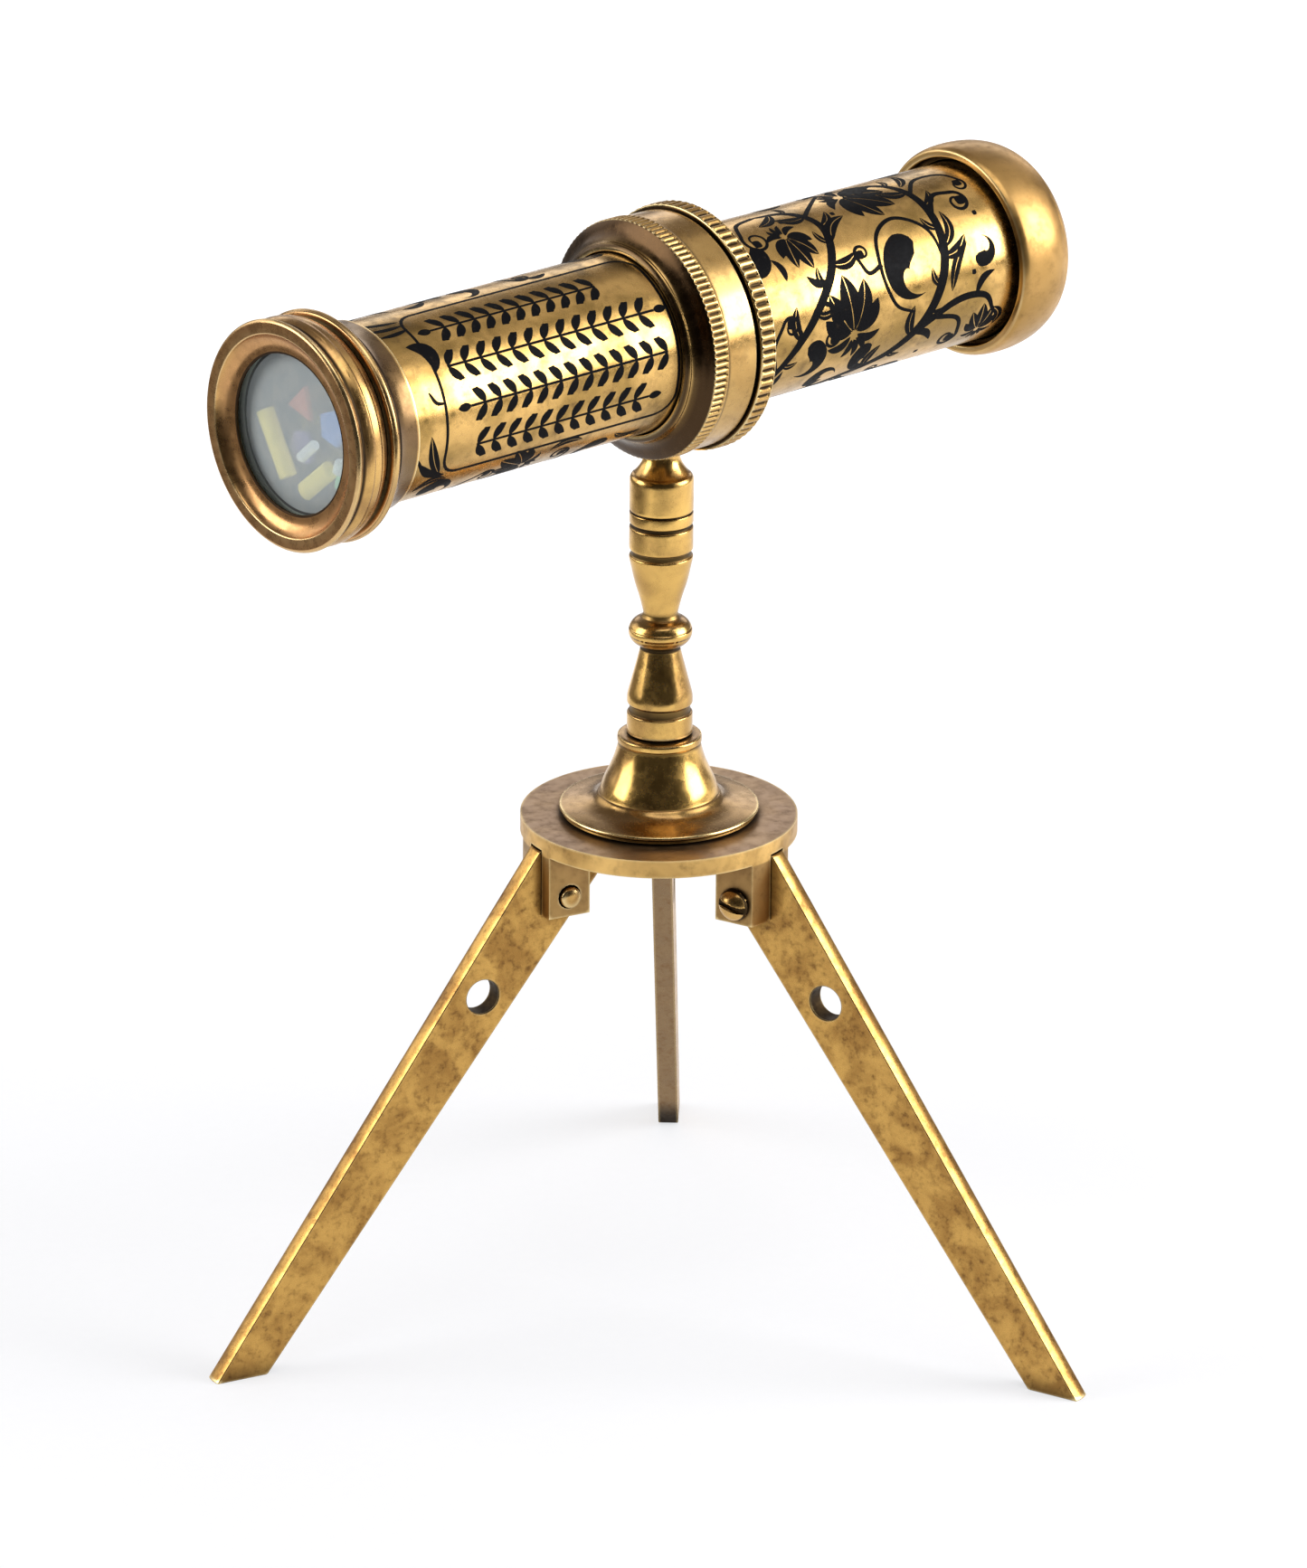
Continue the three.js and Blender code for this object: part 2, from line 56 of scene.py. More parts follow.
MM = 0.001
UP = Vector((0, 0, 1))
JOINTS = {joint["name"]: joint for joint in frame["joints"]}
BODY_OF = {
    node: body
    for body, nodes in frame["record"]["behaviour"]["bodies"].items()
    for node in nodes
}


def axis_frame(origin, x_axis, z_axis):
    """Matrix of a right-handed frame from its origin, local X and local Z."""
    y_axis = z_axis.cross(x_axis)
    matrix = Matrix((x_axis, y_axis, z_axis)).transposed().to_4x4()
    matrix.translation = origin
    return matrix


BARREL_AXIS = Vector(JOINTS["barrel_turn"]["axis"]).normalized()
BARREL = axis_frame(Vector(JOINTS["barrel_turn"]["pos_m"]), UP, BARREL_AXIS)
POST_AT = Vector(JOINTS["collar_pan"]["pos_m"])
POST = Matrix.Translation((POST_AT.x, POST_AT.y, 0))


def leg_frame(leg):
    """Frame of one leg station: local X runs outwards, local Y along the hinge, Z up."""
    pivot = Vector(JOINTS[leg + "_fold"]["pos_m"])
    outwards = Vector((pivot.x - POST_AT.x, pivot.y - POST_AT.y, 0)).normalized()
    return axis_frame(Vector((POST_AT.x, POST_AT.y, 0)), outwards, UP)


def ray(angle, length=1.0):
    return Vector((cos(angle), sin(angle))) * length


# ---- meshes from the frame ----
SAME = 2e-6             # vertices this close are one vertex
GENTLE = radians(52)
CORNER_MM = 0.16        # radius left on a sharp edge
CORNER_STEPS = 4


def node_mesh(node, matrix):
    """A CAD node's mesh in the given frame, with its duplicated vertices joined."""
    mesh = bmesh.new()
    mesh.from_mesh(frame["nodes"][node].data)
    mesh.transform(matrix.inverted())
    bmesh.ops.remove_doubles(mesh, verts=mesh.verts, dist=SAME)
    return mesh


def chain(edges):
    """The vertices of connected edges in order, and whether they close on themselves."""
    links = {}
    for edge in edges:
        for a, b in (edge.verts, reversed(edge.verts)):
            links.setdefault(a, []).append(b)
    ends = [v for v, near in links.items() if len(near) == 1]
    first = ends[0] if ends else next(iter(links))
    order, last = [first], None
    while True:
        ahead = [v for v in links[order[-1]] if v is not last and v is not first]
        if not ahead or ahead[0] in order:
            break
        last = order[-1]
        order.append(ahead[0])
    return order, not ends


def section(node, matrix):
    """Half section of a turned node as [radius, station] in mm, and whether it is a ring."""
    mesh = node_mesh(node, matrix)
    radius = lambda v: hypot(v.co.x, v.co.y)
    turned_at = [atan2(v.co.y, v.co.x) for v in mesh.verts if radius(v) > SAME * 10]
    start = min((abs(angle), angle) for angle in turned_at)[1]
    towards = ray(start).to_3d()

    def on_plane(v):
        flat = Vector((v.co.x, v.co.y, 0))
        return (flat - towards * radius(v)).length < SAME * 10

    edges = [e for e in mesh.edges if on_plane(e.verts[0]) and on_plane(e.verts[1])]
    order, closed = chain(edges)
    points = [Vector((radius(v) / MM, v.co.z / MM)) for v in order]
    mesh.free()
    return points, closed


def softened(points, closed, corner=CORNER_MM, gentle=GENTLE):
    """The outline with gentle bends turned into curves and sharp corners slightly rounded."""
    count = len(points)
    result = []
    for i, point in enumerate(points):
        if not closed and i in (0, count - 1):
            result.append(point)
            continue
        before, after = points[i - 1] - point, points[(i + 1) % count] - point
        turn = pi - before.angle(after)
        if turn < radians(1):
            continue
        most = min(before.length, after.length) / 2
        cut = most if turn < gentle else min(most * 0.98, corner)
        start = point + before.normalized() * cut
        end = point + after.normalized() * cut
        for k in range(CORNER_STEPS + 1):
            t = k / CORNER_STEPS
            result.append(start * (1 - t) ** 2 + point * 2 * t * (1 - t) + end * t ** 2)
    return result


def refined(points, closed, stops_of):
    """The outline with extra points at stops_of(length) along each of its stretches."""
    result = []
    for i, point in enumerate(points):
        result.append(point)
        if not closed and i == len(points) - 1:
            break
        after = points[(i + 1) % len(points)]
        length = (after - point).length
        result += [point.lerp(after, stop / length) for stop in stops_of(length)]
    return result


def spaced(points, closed, step):
    """The outline with extra points, so that no stretch of it is longer than step."""
    def stops(length):
        parts = ceil(length / step)
        return [length * k / parts for k in range(1, parts)]
    return refined(points, closed, stops)


def guarded(points, closed):
    """The outline with points near the ends of long stretches, to hold what is painted there."""
    return refined(points, closed,
                   lambda length: (0.35, 0.9, length - 0.9, length - 0.35) if length > 2 else ())


EDGE_REACH_MM, NOOK_REACH_MM = 0.28, 0.5    # how far round an edge or a nook it shows


def relief_of(points, closed):
    """At each outline point, how much the metal turns round it: 1 at a square edge, -1 in a nook."""
    count = len(points)
    area = sum(a.x * b.y - b.x * a.y for a, b in zip(points, points[1:] + points[:1]))
    along, turns = [0.0], []
    for a, b in zip(points, points[1:]):
        along.append(along[-1] + (b - a).length)
    whole = along[-1] + (points[0] - points[-1]).length
    for i, point in enumerate(points):
        if not closed and i in (0, count - 1):
            turns.append(0.0)
            continue
        before, after = point - points[i - 1], points[(i + 1) % count] - point
        angle = atan2(before.x * after.y - before.y * after.x, before.dot(after))
        turns.append(copysign(1, area) * angle / (pi / 2))
    result = []
    for here in along:
        total = 0.0
        for there, turn in zip(along, turns):
            gap = abs(here - there)
            if closed:
                gap = min(gap, whole - gap)
            total += turn * exp(-(gap / (EDGE_REACH_MM if turn > 0 else NOOK_REACH_MM)) ** 2)
        result.append(total)
    return result


def new_object(name, mesh, matrix=Matrix.Identity(4), smooth=True):
    """An object from a bmesh given in millimetres in the frame of matrix."""
    bmesh.ops.recalc_face_normals(mesh, faces=mesh.faces)
    for face in mesh.faces:
        face.smooth = smooth
    data = bpy.data.meshes.new(name)
    mesh.transform(Matrix.Scale(MM, 4))
    mesh.to_mesh(data)
    mesh.free()
    obj = bpy.data.objects.new(name, data)
    SCENE.collection.objects.link(obj)
    obj.matrix_world = matrix
    return obj


def even_shading(obj):
    """Normals weighted by face area, so flats stay flat and only the rounded edges turn."""
    modifier = obj.modifiers.new("even_shading", "WEIGHTED_NORMAL")
    modifier.weight = 90
    modifier.keep_sharp = True


RIB_SHADE = 2.2          # relief lost for each mm that a rib's valley is cut, which paints shade and grime in the valleys


def spin(name, points, closed, matrix, segments=192, radius_at=None):
    """Turned piece from an outline. radius_at(r, s, turn) may shape it round its girth."""
    mesh = bmesh.new()
    painted = mesh.verts.layers.float.new("relief")
    rings = []
    for point, relief in zip(points, relief_of(points, closed)):
        if point.x < 0.001:
            rings.append([mesh.verts.new((0, 0, point.y))])
            continue
        ring = []
        for i in range(segments):
            turn = 2 * pi * i / segments
            r = radius_at(point.x, point.y, turn) if radius_at else point.x
            vert = mesh.verts.new((r * cos(turn), r * sin(turn), point.y))
            vert[painted] = relief - (point.x - r) * RIB_SHADE
            ring.append(vert)
        rings.append(ring)
    pairs = list(zip(rings, rings[1:]))
    if closed:
        pairs.append((rings[-1], rings[0]))
    for low, high in pairs:
        for i in range(segments):
            k = (i + 1) % segments
            corners = [low[i % len(low)], low[k % len(low)], high[k % len(high)], high[i % len(high)]]
            unique = list(dict.fromkeys(corners))
            if len(unique) > 2:
                mesh.faces.new(unique)
    obj = new_object(name, mesh, matrix)
    even_shading(obj)
    return obj


def ribbed(low, high, outer, count, depth, softness=0.25):
    """Radius rule that cuts even ribs along the axis between two stations of the outer face."""
    def rule(r, s, turn):
        inside = min(s - low, high - s) / softness
        if r < outer - depth * 1.5 or inside <= 0:
            return r
        wave = 0.5 - 0.5 * cos(count * turn)
        return r - depth * min(1, inside) * wave ** 1.6
    return rule


def hull(points):
    """Convex outline of flat points, anticlockwise."""
    ordered = sorted(set(points))
    halves = []
    for run in (ordered, ordered[::-1]):
        half = []
        for p in run:
            while len(half) > 1:
                a, b = half[-2], half[-1]
                if (b[0] - a[0]) * (p[1] - a[1]) - (b[1] - a[1]) * (p[0] - a[0]) > 1e-3:
                    break
                half.pop()
            half.append(p)
        halves.append(half[:-1])
    return [Vector(p) for p in halves[0] + halves[1]]


def leg_plan(name):
    """Outline, (centre, radius) of the two holes and half thickness of a leg, in its frame in mm."""
    matrix = leg_frame(name)
    mesh = node_mesh(name, matrix)
    flat = [(round(v.co.x / MM, 4), round(v.co.z / MM, 4)) for v in mesh.verts]
    half = max(v.co.y for v in mesh.verts) / MM
    mesh.free()
    outline = hull(flat)
    corners = {tuple(p) for p in outline}
    pivot_at = matrix.inverted() @ Vector(JOINTS[name + "_fold"]["pos_m"]) / MM
    pivot = Vector((pivot_at.x, pivot_at.z))
    inner = [Vector(p) for p in set(flat) if min((Vector(p) - Vector(c)).length for c in corners) > 0.05]
    holes = []
    for near in (True, False):
        ring = [p for p in inner if ((p - pivot).length < 4) is near]
        centre = sum(ring, Vector((0, 0))) / len(ring)
        holes.append((centre, max((p - centre).length for p in ring)))
    return outline, holes, half


# ---- materials ----
class Tree:
    """Short hand for building a node tree."""

    def __init__(self, tree):
        self.tree = tree

    def feed(self, value, socket):
        """Joins another socket to this one, or gives it a colour or a number."""
        if isinstance(value, bpy.types.NodeSocket):
            self.tree.links.new(value, socket)
        elif socket.type == "RGBA":
            socket.default_value = (*value, 1.0)
        else:
            socket.default_value = value

    def add(self, kind, output, inputs=None, **settings):
        """The output of a new node. Outputs and inputs go by name or number."""
        node = self.tree.nodes.new("ShaderNode" + kind)
        for key, value in settings.items():
            setattr(node, key, value)
        for key, value in (inputs or {}).items():
            self.feed(value, node.inputs[key])
        return node.outputs[output]

    def part(self, vector, axis):
        """One coordinate of a vector: axis is 0, 1 or 2 for X, Y or Z."""
        return self.add("SeparateXYZ", axis, {0: vector})

    def spread(self, value, low, high, to_low=0.0, to_high=1.0, curve="SMOOTHSTEP"):
        """Maps low..high of a value to to_low..to_high."""
        names = ("Value", "From Min", "From Max", "To Min", "To Max")
        fed = dict(zip(names, (value, low, high, to_low, to_high)))
        return self.add("MapRange", "Result", fed, interpolation_type=curve)

    def calc(self, first, second, operation="ADD"):
        return self.add("Math", 0, {0: first, 1: second}, operation=operation)

    def mix(self, factor, first, second):
        return self.add("Mix", 2, {0: factor, 6: first, 7: second}, data_type="RGBA")


class Nodes(Tree):
    """The node tree of a new material."""

    def __init__(self, name):
        self.material = bpy.data.materials.new(name)
        self.material.use_nodes = True
        super().__init__(self.material.node_tree)
        self.shader = self.tree.nodes["Principled BSDF"]
        self.place = self.add("TexCoord", "Object")
        self.normal = self.add("TexCoord", "Normal")

    def set(self, socket, value):
        self.feed(value, self.shader.inputs[socket])

    def noise(self, size_mm, detail=4.0, roughness=0.55, stretch=(1, 1, 1), distortion=0.0):
        """Noise whose features are about size_mm wide, squeezed along each axis by stretch."""
        place = self.add("Mapping", 0, {"Vector": self.place, "Scale": stretch})
        fed = {"Vector": place, "Scale": 1 / (size_mm * MM), "Detail": detail,
               "Roughness": roughness, "Distortion": distortion}
        return self.add("TexNoise", "Fac", fed)

    def reach(self, counted, centre=(0, 0, 0)):
        """Distance from a point in metres, counted along the axes given as 1."""
        back = tuple(-c * k for c, k in zip(centre, counted))
        flat = self.add("Mapping", 0, {"Vector": self.place, "Location": back, "Scale": counted})
        return self.add("VectorMath", "Value", {0: flat}, operation="LENGTH")

    def shade(self, distance_mm, inside=False):
        """How open the surface is: 1 in the open, falling in grooves, or at edges from inside."""
        fed = {"Distance": distance_mm * MM}
        return self.add("AmbientOcclusion", "AO", fed, samples=8, inside=inside)

    def bump(self, height, depth_mm):
        fed = {"Strength": 1.0, "Distance": depth_mm * MM, "Height": height}
        self.set("Normal", self.add("Bump", "Normal", fed))


GOLD = (0.68, 0.42, 0.14)
HONEY = (0.45, 0.265, 0.085)
OLIVE = (0.34, 0.21, 0.062)
BRONZE = (0.30, 0.165, 0.065)
UMBER = (0.11, 0.062, 0.028)
MAUVE = (0.30, 0.195, 0.13)
RUST = (0.20, 0.10, 0.03)
PALE = (0.85, 0.66, 0.33)
# Near black of grime and of painted shade in grooves, nooks, slots and holes.
GRIME_AND_SHADE_BLACK = (0.014, 0.010, 0.008)


def brass(name, bright=GOLD, deep=HONEY, patina=UMBER, tarnish=0.4, roughness=0.30, turned=True,
          groove_mm=1.6, mottle_mm=5.0, ends=None, shelter_shade_mm=0.0, inward_shade=None, zone=None, shaded_bore=None):
    """Antique brass: rubbed bright at the edges, where it also has a painted highlight, deeper in clouds,
    brown in spots, and dark in grooves with grime and painted shade.

    ends is the tone of the faces that look along the axis, and how much of it shows. inward_shade is
    painted shade: a darker tone on the faces that look back along local X. zone is (low, high, tone)
    of what lies between two heights in mm. shaded_bore is (centre, radius) of a round hole along local
    Y whose inside gets painted shade. shelter_shade_mm is how near other metal must be to leave a dull
    bloom with painted shade, if that is wanted.
    """
    nodes = Nodes(name)
    clouds = nodes.noise(mottle_mm * 2.4, detail=3.0, distortion=0.6)
    spots = nodes.noise(mottle_mm * 0.5, detail=9.0, roughness=0.72)
    specks = nodes.noise(0.7, roughness=0.7)
    colour = nodes.mix(nodes.spread(clouds, 0.34, 0.68), bright, deep)
    if ends:
        facing = nodes.calc(nodes.part(nodes.normal, 2), 0.0, "ABSOLUTE")
        colour = nodes.mix(nodes.spread(facing, 0.25, 0.85, 0.0, ends[1]), colour, ends[0])
    # Painted shade on the faces that look back along local X.
    if inward_shade:
        back = nodes.spread(nodes.part(nodes.normal, 0), -0.7, -0.3, 0.9, 0.0)
        colour = nodes.mix(back, colour, inward_shade)
    # A tone between two heights: tarnish in the ferrule's cove, tarnish and painted shade on the head's lugs under
    # the disc.
    if zone:
        low, high, tone = zone
        height = nodes.part(nodes.place, 2)
        above = nodes.spread(height, low * MM, (low + 0.3) * MM, 0.0, 0.8)
        below = nodes.spread(height, (high - 0.3) * MM, high * MM, 1.0, 0.0)
        colour = nodes.mix(nodes.calc(above, below, "MULTIPLY"), colour, tone)
    cloudy = nodes.spread(clouds, 0.25, 0.75, 0.3)
    stain = nodes.calc(nodes.spread(spots, 0.46, 0.74), cloudy, "MULTIPLY")
    stain = nodes.calc(nodes.calc(stain, tarnish * 1.8, "MULTIPLY"), 0.92, "MINIMUM")
    colour = nodes.mix(stain, colour, patina)
    colour = nodes.mix(nodes.spread(specks, 0.60, 0.80, 0.0, min(tarnish, 0.4)), colour, patina)
    # Painted shade near other metal, as a bronze bloom that is partly dull tarnish.
    if shelter_shade_mm:
        bloom_and_shade = nodes.spread(nodes.shade(shelter_shade_mm), 0.45, 0.92, 0.75, 0.0)
        colour = nodes.mix(bloom_and_shade, colour, BRONZE)
    # Grooves and corners go near black: partly grime, partly painted shade.
    groove = nodes.spread(nodes.shade(groove_mm), 0.30, 0.88, 1.0, 0.0)
    if turned:
        # Rubbed bright on convex edges, which also paints a highlight there; nooks and rib valleys get painted
        # shade and grime.
        relief = nodes.add("Attribute", "Fac", attribute_name="relief")
        wear_and_sheen = nodes.spread(relief, 0.22, 0.75, 0.0, 0.9)
        groove = nodes.calc(groove, nodes.spread(relief, -0.75, -0.12, 1.0, 0.0), "MAXIMUM")
    else:
        # Rubbed bright at edges found from inside, which also paints a highlight there.
        wear_and_sheen = nodes.spread(nodes.shade(0.8, inside=True), 0.34, 0.78, 1.0, 0.0)
    # Painted shade inside the round hole.
    if shaded_bore:
        (x, z), radius = shaded_bore
        away = nodes.reach((1, 0, 1), (x * MM, 0, z * MM))
        inside = nodes.spread(away, radius * MM, (radius + 0.25) * MM, 1.0, 0.0)
        groove = nodes.calc(groove, inside, "MAXIMUM")
    groove = nodes.calc(groove, 0.93, "MULTIPLY")
    nodes.set("Base Color", nodes.mix(wear_and_sheen, nodes.mix(groove, colour, GRIME_AND_SHADE_BLACK), PALE))
    nodes.set("Metallic", 1.0)
    rough = nodes.spread(spots, 0.3, 0.75, roughness - 0.05, roughness + 0.14)
    nodes.set("Roughness", nodes.calc(rough, nodes.calc(groove, 0.3, "MULTIPLY")))
    stretch = (0.25, 0.25, 9.0) if turned else (1.0, 1.0, 1.0)
    lines = nodes.noise(1.2, detail=5.0, roughness=0.6, stretch=stretch)
    nodes.bump(lines, 0.002 if turned else 0.012)
    return nodes.material


def enamel():
    """Black enamel laid in the engraving: satin, slightly uneven, with brown wear."""
    nodes = Nodes("black_enamel")
    cloud = nodes.noise(1.1, detail=6.0, roughness=0.7)
    colour = nodes.mix(nodes.spread(cloud, 0.55, 0.8), (0.004, 0.004, 0.005), (0.03, 0.022, 0.016))
    nodes.set("Base Color", colour)
    nodes.set("Roughness", nodes.spread(cloud, 0.3, 0.8, 0.40, 0.65))
    nodes.set("Specular IOR Level", 0.04)
    nodes.bump(cloud, 0.01)
    return nodes.material


def clear(name, tint, roughness, transmission, painted_glow, alpha=1.0):
    """Glass or clear plastic with faint smears on its surface. painted_glow is painted light: emission
    that brightens it though it is no lamp.
    """
    nodes = Nodes(name)
    smear = nodes.noise(3.0, detail=5.0)
    nodes.set("Base Color", nodes.mix(nodes.spread(smear, 0.4, 0.7), tint, tuple(c * 0.93 for c in tint)))
    nodes.set("Roughness", nodes.spread(smear, 0.3, 0.7, roughness, roughness + 0.06))
    nodes.set("Transmission Weight", transmission)
    nodes.set("Alpha", alpha)
    # Painted light: emission that brightens the piece though it is no lamp.
    nodes.set("Emission Color", tint)
    nodes.set("Emission Strength", painted_glow)
    return nodes.material


def ground_glass(back_station, window):
    """Flat glass that is clear in front and ground behind, with a dark ring of painted shadow just outside
    the window's edge.
    """
    nodes = Nodes("frosted_glass")
    radius = nodes.reach((1, 1, 0))
    station = nodes.part(nodes.place, 2)
    behind = nodes.spread(station, (back_station - 0.4) * MM, (back_station - 0.1) * MM)
    # Painted shadow: dark and more opaque just outside the window's edge.
    ring_shadow = nodes.spread(radius, window * MM, (window + 0.15) * MM)
    rim = nodes.spread(radius, (window + 0.45) * MM, (window + 0.65) * MM)
    grain = nodes.noise(2.5, detail=6.0)
    veil = nodes.mix(nodes.spread(grain, 0.35, 0.7), (0.74, 0.82, 0.84), (0.82, 0.88, 0.87))
    colour = nodes.mix(ring_shadow, veil, (0.05, 0.05, 0.045))
    colour = nodes.mix(rim, colour, (0.50, 0.56, 0.48))
    nodes.set("Base Color", colour)
    nodes.set("Roughness", nodes.spread(behind, 0.0, 1.0, 0.03, 0.5))
    cover = nodes.spread(ring_shadow, 0.0, 1.0, 0.56)
    nodes.set("Alpha", nodes.calc(nodes.calc(cover, behind, "MULTIPLY"), 0.06, "MAXIMUM"))
    return nodes.material


def mirror():
    nodes = Nodes("mirror_glass")
    haze = nodes.noise(6.0)
    nodes.set("Base Color", nodes.mix(haze, (0.90, 0.92, 0.93), (0.82, 0.85, 0.87)))
    nodes.set("Metallic", 1.0)
    nodes.set("Roughness", nodes.spread(haze, 0.4, 0.7, 0.02, 0.06))
    return nodes.material


def card(name, dark, light, fibre_mm):
    """Card or felt: matt, with a fibrous surface."""
    nodes = Nodes(name)
    fibre = nodes.noise(fibre_mm, detail=8.0, roughness=0.75)
    nodes.set("Base Color", nodes.mix(fibre, dark, light))
    nodes.set("Roughness", 0.92)
    nodes.bump(fibre, 0.06)
    return nodes.material


WINDOW_R_MM = 12.6                                     # opening of the object cell
GLASS_BACK_MM = -73.8                                  # station of its ground glass's back
FERRULE_COVE = (-68.7, -62.8, (0.09, 0.054, 0.032))    # stations and tone of the tarnished cove
LUG_TARNISH_AND_SHADE = (60, 79.8, (0.30, 0.18, 0.07))            # heights and tone of the head's lugs under the disc: tarnish and painted shade

BRASSES = {
    "head_brass": dict(bright=(0.88, 0.56, 0.19), tarnish=0.3, roughness=0.36, turned=False,
                       ends=(MAUVE, 0.8), groove_mm=3.0, shelter_shade_mm=8.0, zone=LUG_TARNISH_AND_SHADE),
    "leg_brass": dict(bright=(0.60, 0.35, 0.095), deep=(0.36, 0.19, 0.05), patina=RUST, tarnish=0.8,
                      roughness=0.28, turned=False, mottle_mm=2.8, groove_mm=7.0,
                      inward_shade=(0.22, 0.14, 0.07), shaded_bore=leg_plan("leg_left")[1][1]),
    "screw_brass": dict(tarnish=0.2, roughness=0.24, groove_mm=0.8),
    "post_brass": dict(bright=(0.80, 0.50, 0.145), tarnish=0.12, roughness=0.21,
                       ends=((0.25, 0.145, 0.065), 0.75)),
    "collar_brass": dict(bright=(0.60, 0.38, 0.135), roughness=0.22, groove_mm=0.9,
                         ends=((0.06, 0.034, 0.016), 1.0)),
    "tube_brass": dict(deep=OLIVE, tarnish=0.45, roughness=0.23, groove_mm=1.2, mottle_mm=4.0),
    "cell_brass": dict(deep=(0.38, 0.22, 0.085), tarnish=0.2, roughness=0.26, groove_mm=1.0,
                       ends=((0.56, 0.30, 0.125), 0.85), zone=FERRULE_COVE),
    "cap_brass": dict(bright=(0.58, 0.345, 0.12), tarnish=0.25, roughness=0.34),
}
# Tint, roughness, transmission, painted light and cover of the clear glass and the loose pieces.
CLEARS = {
    "clear_glass": ((0.93, 0.97, 0.96), 0.02, 1.0, 0.0, 0.15),
    "yellow_plastic": ((0.95, 0.86, 0.22), 0.25, 0.2, 0.18),
    "clear_plastic": ((0.92, 0.98, 0.96), 0.08, 0.4, 0.16),
    "orange_plastic": ((0.92, 0.24, 0.12), 0.25, 0.2, 0.08),
    "blue_plastic": ((0.18, 0.42, 0.92), 0.25, 0.2, 0.16),
    "violet_plastic": ((0.28, 0.24, 0.60), 0.25, 0.2, 0.08),
    "green_plastic": ((0.42, 0.85, 0.66), 0.25, 0.2, 0.22),
}
MATERIALS = {
    **{name: brass(name, **looks) for name, looks in BRASSES.items()},
    **{name: clear(name, *looks) for name, looks in CLEARS.items()},
    "frosted_glass": ground_glass(GLASS_BACK_MM, WINDOW_R_MM),
    "mirror_glass": mirror(),
    "black_card": card("black_card", (0.008, 0.007, 0.006), (0.03, 0.027, 0.024), 0.4),
    "grey_felt": card("grey_felt", (0.04, 0.037, 0.03), (0.12, 0.11, 0.09), 0.25),
}
BLACK_ENAMEL = enamel()


def fit(obj, node, slot):
    """Puts a new piece in its node's place, with its slot's material."""
    obj.data.materials.clear()
    obj.data.materials.append(MATERIALS[slot])
    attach(obj, BODY_OF[node])
    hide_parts(node)
    return obj


# ---- turned pieces ----
def turn_node(node, slot, matrix=BARREL, corner=CORNER_MM, segments=192, ribs=None, line=None):
    """Replaces a turned CAD node by a fine one of the same section, with its knurling or line."""
    points, closed = section(node, matrix)
    if line:
        points = grooved(points, **line)
    points = guarded(softened(points, closed, corner), closed)
    rule = None
    if ribs:
        points = spaced(points, closed, RIB_STEP_MM)
        rule = ribbed(**ribs)
        segments = ribs["count"] * RIB_SEGMENTS
    return fit(spin(node + "_fine", points, closed, matrix, segments, rule), node, slot)


# Knurling between two stations of a ring, and a line turned in the post, all in mm.
SHOULDER = dict(low=-6.1, high=-3.5, outer=19.3, count=110, depth=0.38)
LOCK_RING = dict(low=3.3, high=6.1, outer=19.8, count=80, depth=0.45)
STEM_LINE = dict(radius=5.05, low=133.3, high=133.65, depth=0.3)
RIB_STEP_MM = 0.5
RIB_SEGMENTS = 6


def paint_shade(obj, inside):
    """Paints shade: the lowest relief, which brass turns near black, on the vertices that the rule picks,
    given in mm.
    """
    painted = obj.data.attributes["relief"].data
    for vert in obj.data.vertices:
        if inside(vert.co / MM):
            painted[vert.index].value = -1


def collar():
    """Coved collar body with its knurled shoulder, the knurled lock ring and the felt between."""
    turn_node("collar_body", "collar_brass", ribs=SHOULDER)
    turn_node("collar_lock_ring", "collar_brass", ribs=LOCK_RING)
    turn_node("collar_felt", "grey_felt")
    turn_node("collar_stud", "screw_brass", POST, segments=48)


def barrel():
    turn_node("tube", "tube_brass", segments=256)
    turn_node("front_ferrule", "cell_brass")
    turn_node("eyepiece_cap", "cap_brass", corner=0.3)
    turn_node("eye_stop", "black_card")
    turn_node("eyepiece_window", "clear_glass")


def cell():
    ring = turn_node("cell_ring", "cell_brass", corner=0.22)
    # Painted shade in the gap round the window's edge.
    paint_shade(ring, lambda p: hypot(p.x, p.y) < WINDOW_R_MM + 0.5)
    turn_node("front_glass", "frosted_glass")
    turn_node("inner_glass", "clear_glass")
    turn_node("cell_spacer", "black_card")
    turn_node("cell_retaining_ring", "cell_brass")


def grooved(points, radius, low, high, depth):
    """The outline with a small square groove cut in the straight stretch at that radius."""
    result = []
    for a, b in zip(points, points[1:] + points[:1]):
        result.append(a)
        straight = abs(a.x - radius) < 0.02 and abs(b.x - radius) < 0.02
        if straight and min(a.y, b.y) < low and high < max(a.y, b.y):
            cut = [Vector((radius, low)), Vector((radius - depth, low + 0.05)),
                   Vector((radius - depth, high - 0.05)), Vector((radius, high))]
            result += cut if a.y < b.y else cut[::-1]
    return result


def post():
    turn_node("post_base", "post_brass", POST, corner=0.5)
    turn_node("post_stem", "post_brass", POST, line=STEM_LINE)
    turn_node("base_washer", "screw_brass", POST)


# ---- flat and cut pieces ----
def edged(node, slot, width_mm, angle=30):
    """A CAD node kept in its shape, with joined faces and small rounded edges."""
    mesh = node_mesh(node, Matrix.Identity(4))
    mesh.transform(Matrix.Scale(1 / MM, 4))
    bmesh.ops.dissolve_limit(mesh, angle_limit=radians(0.5), verts=mesh.verts, edges=mesh.edges)
    obj = new_object(node + "_fine", mesh)
    bevel = obj.modifiers.new("edges", "BEVEL")
    bevel.width = width_mm * MM
    bevel.segments = 3
    bevel.limit_method = "ANGLE"
    bevel.angle_limit = radians(angle)
    even_shading(obj)
    return fit(obj, node, slot)


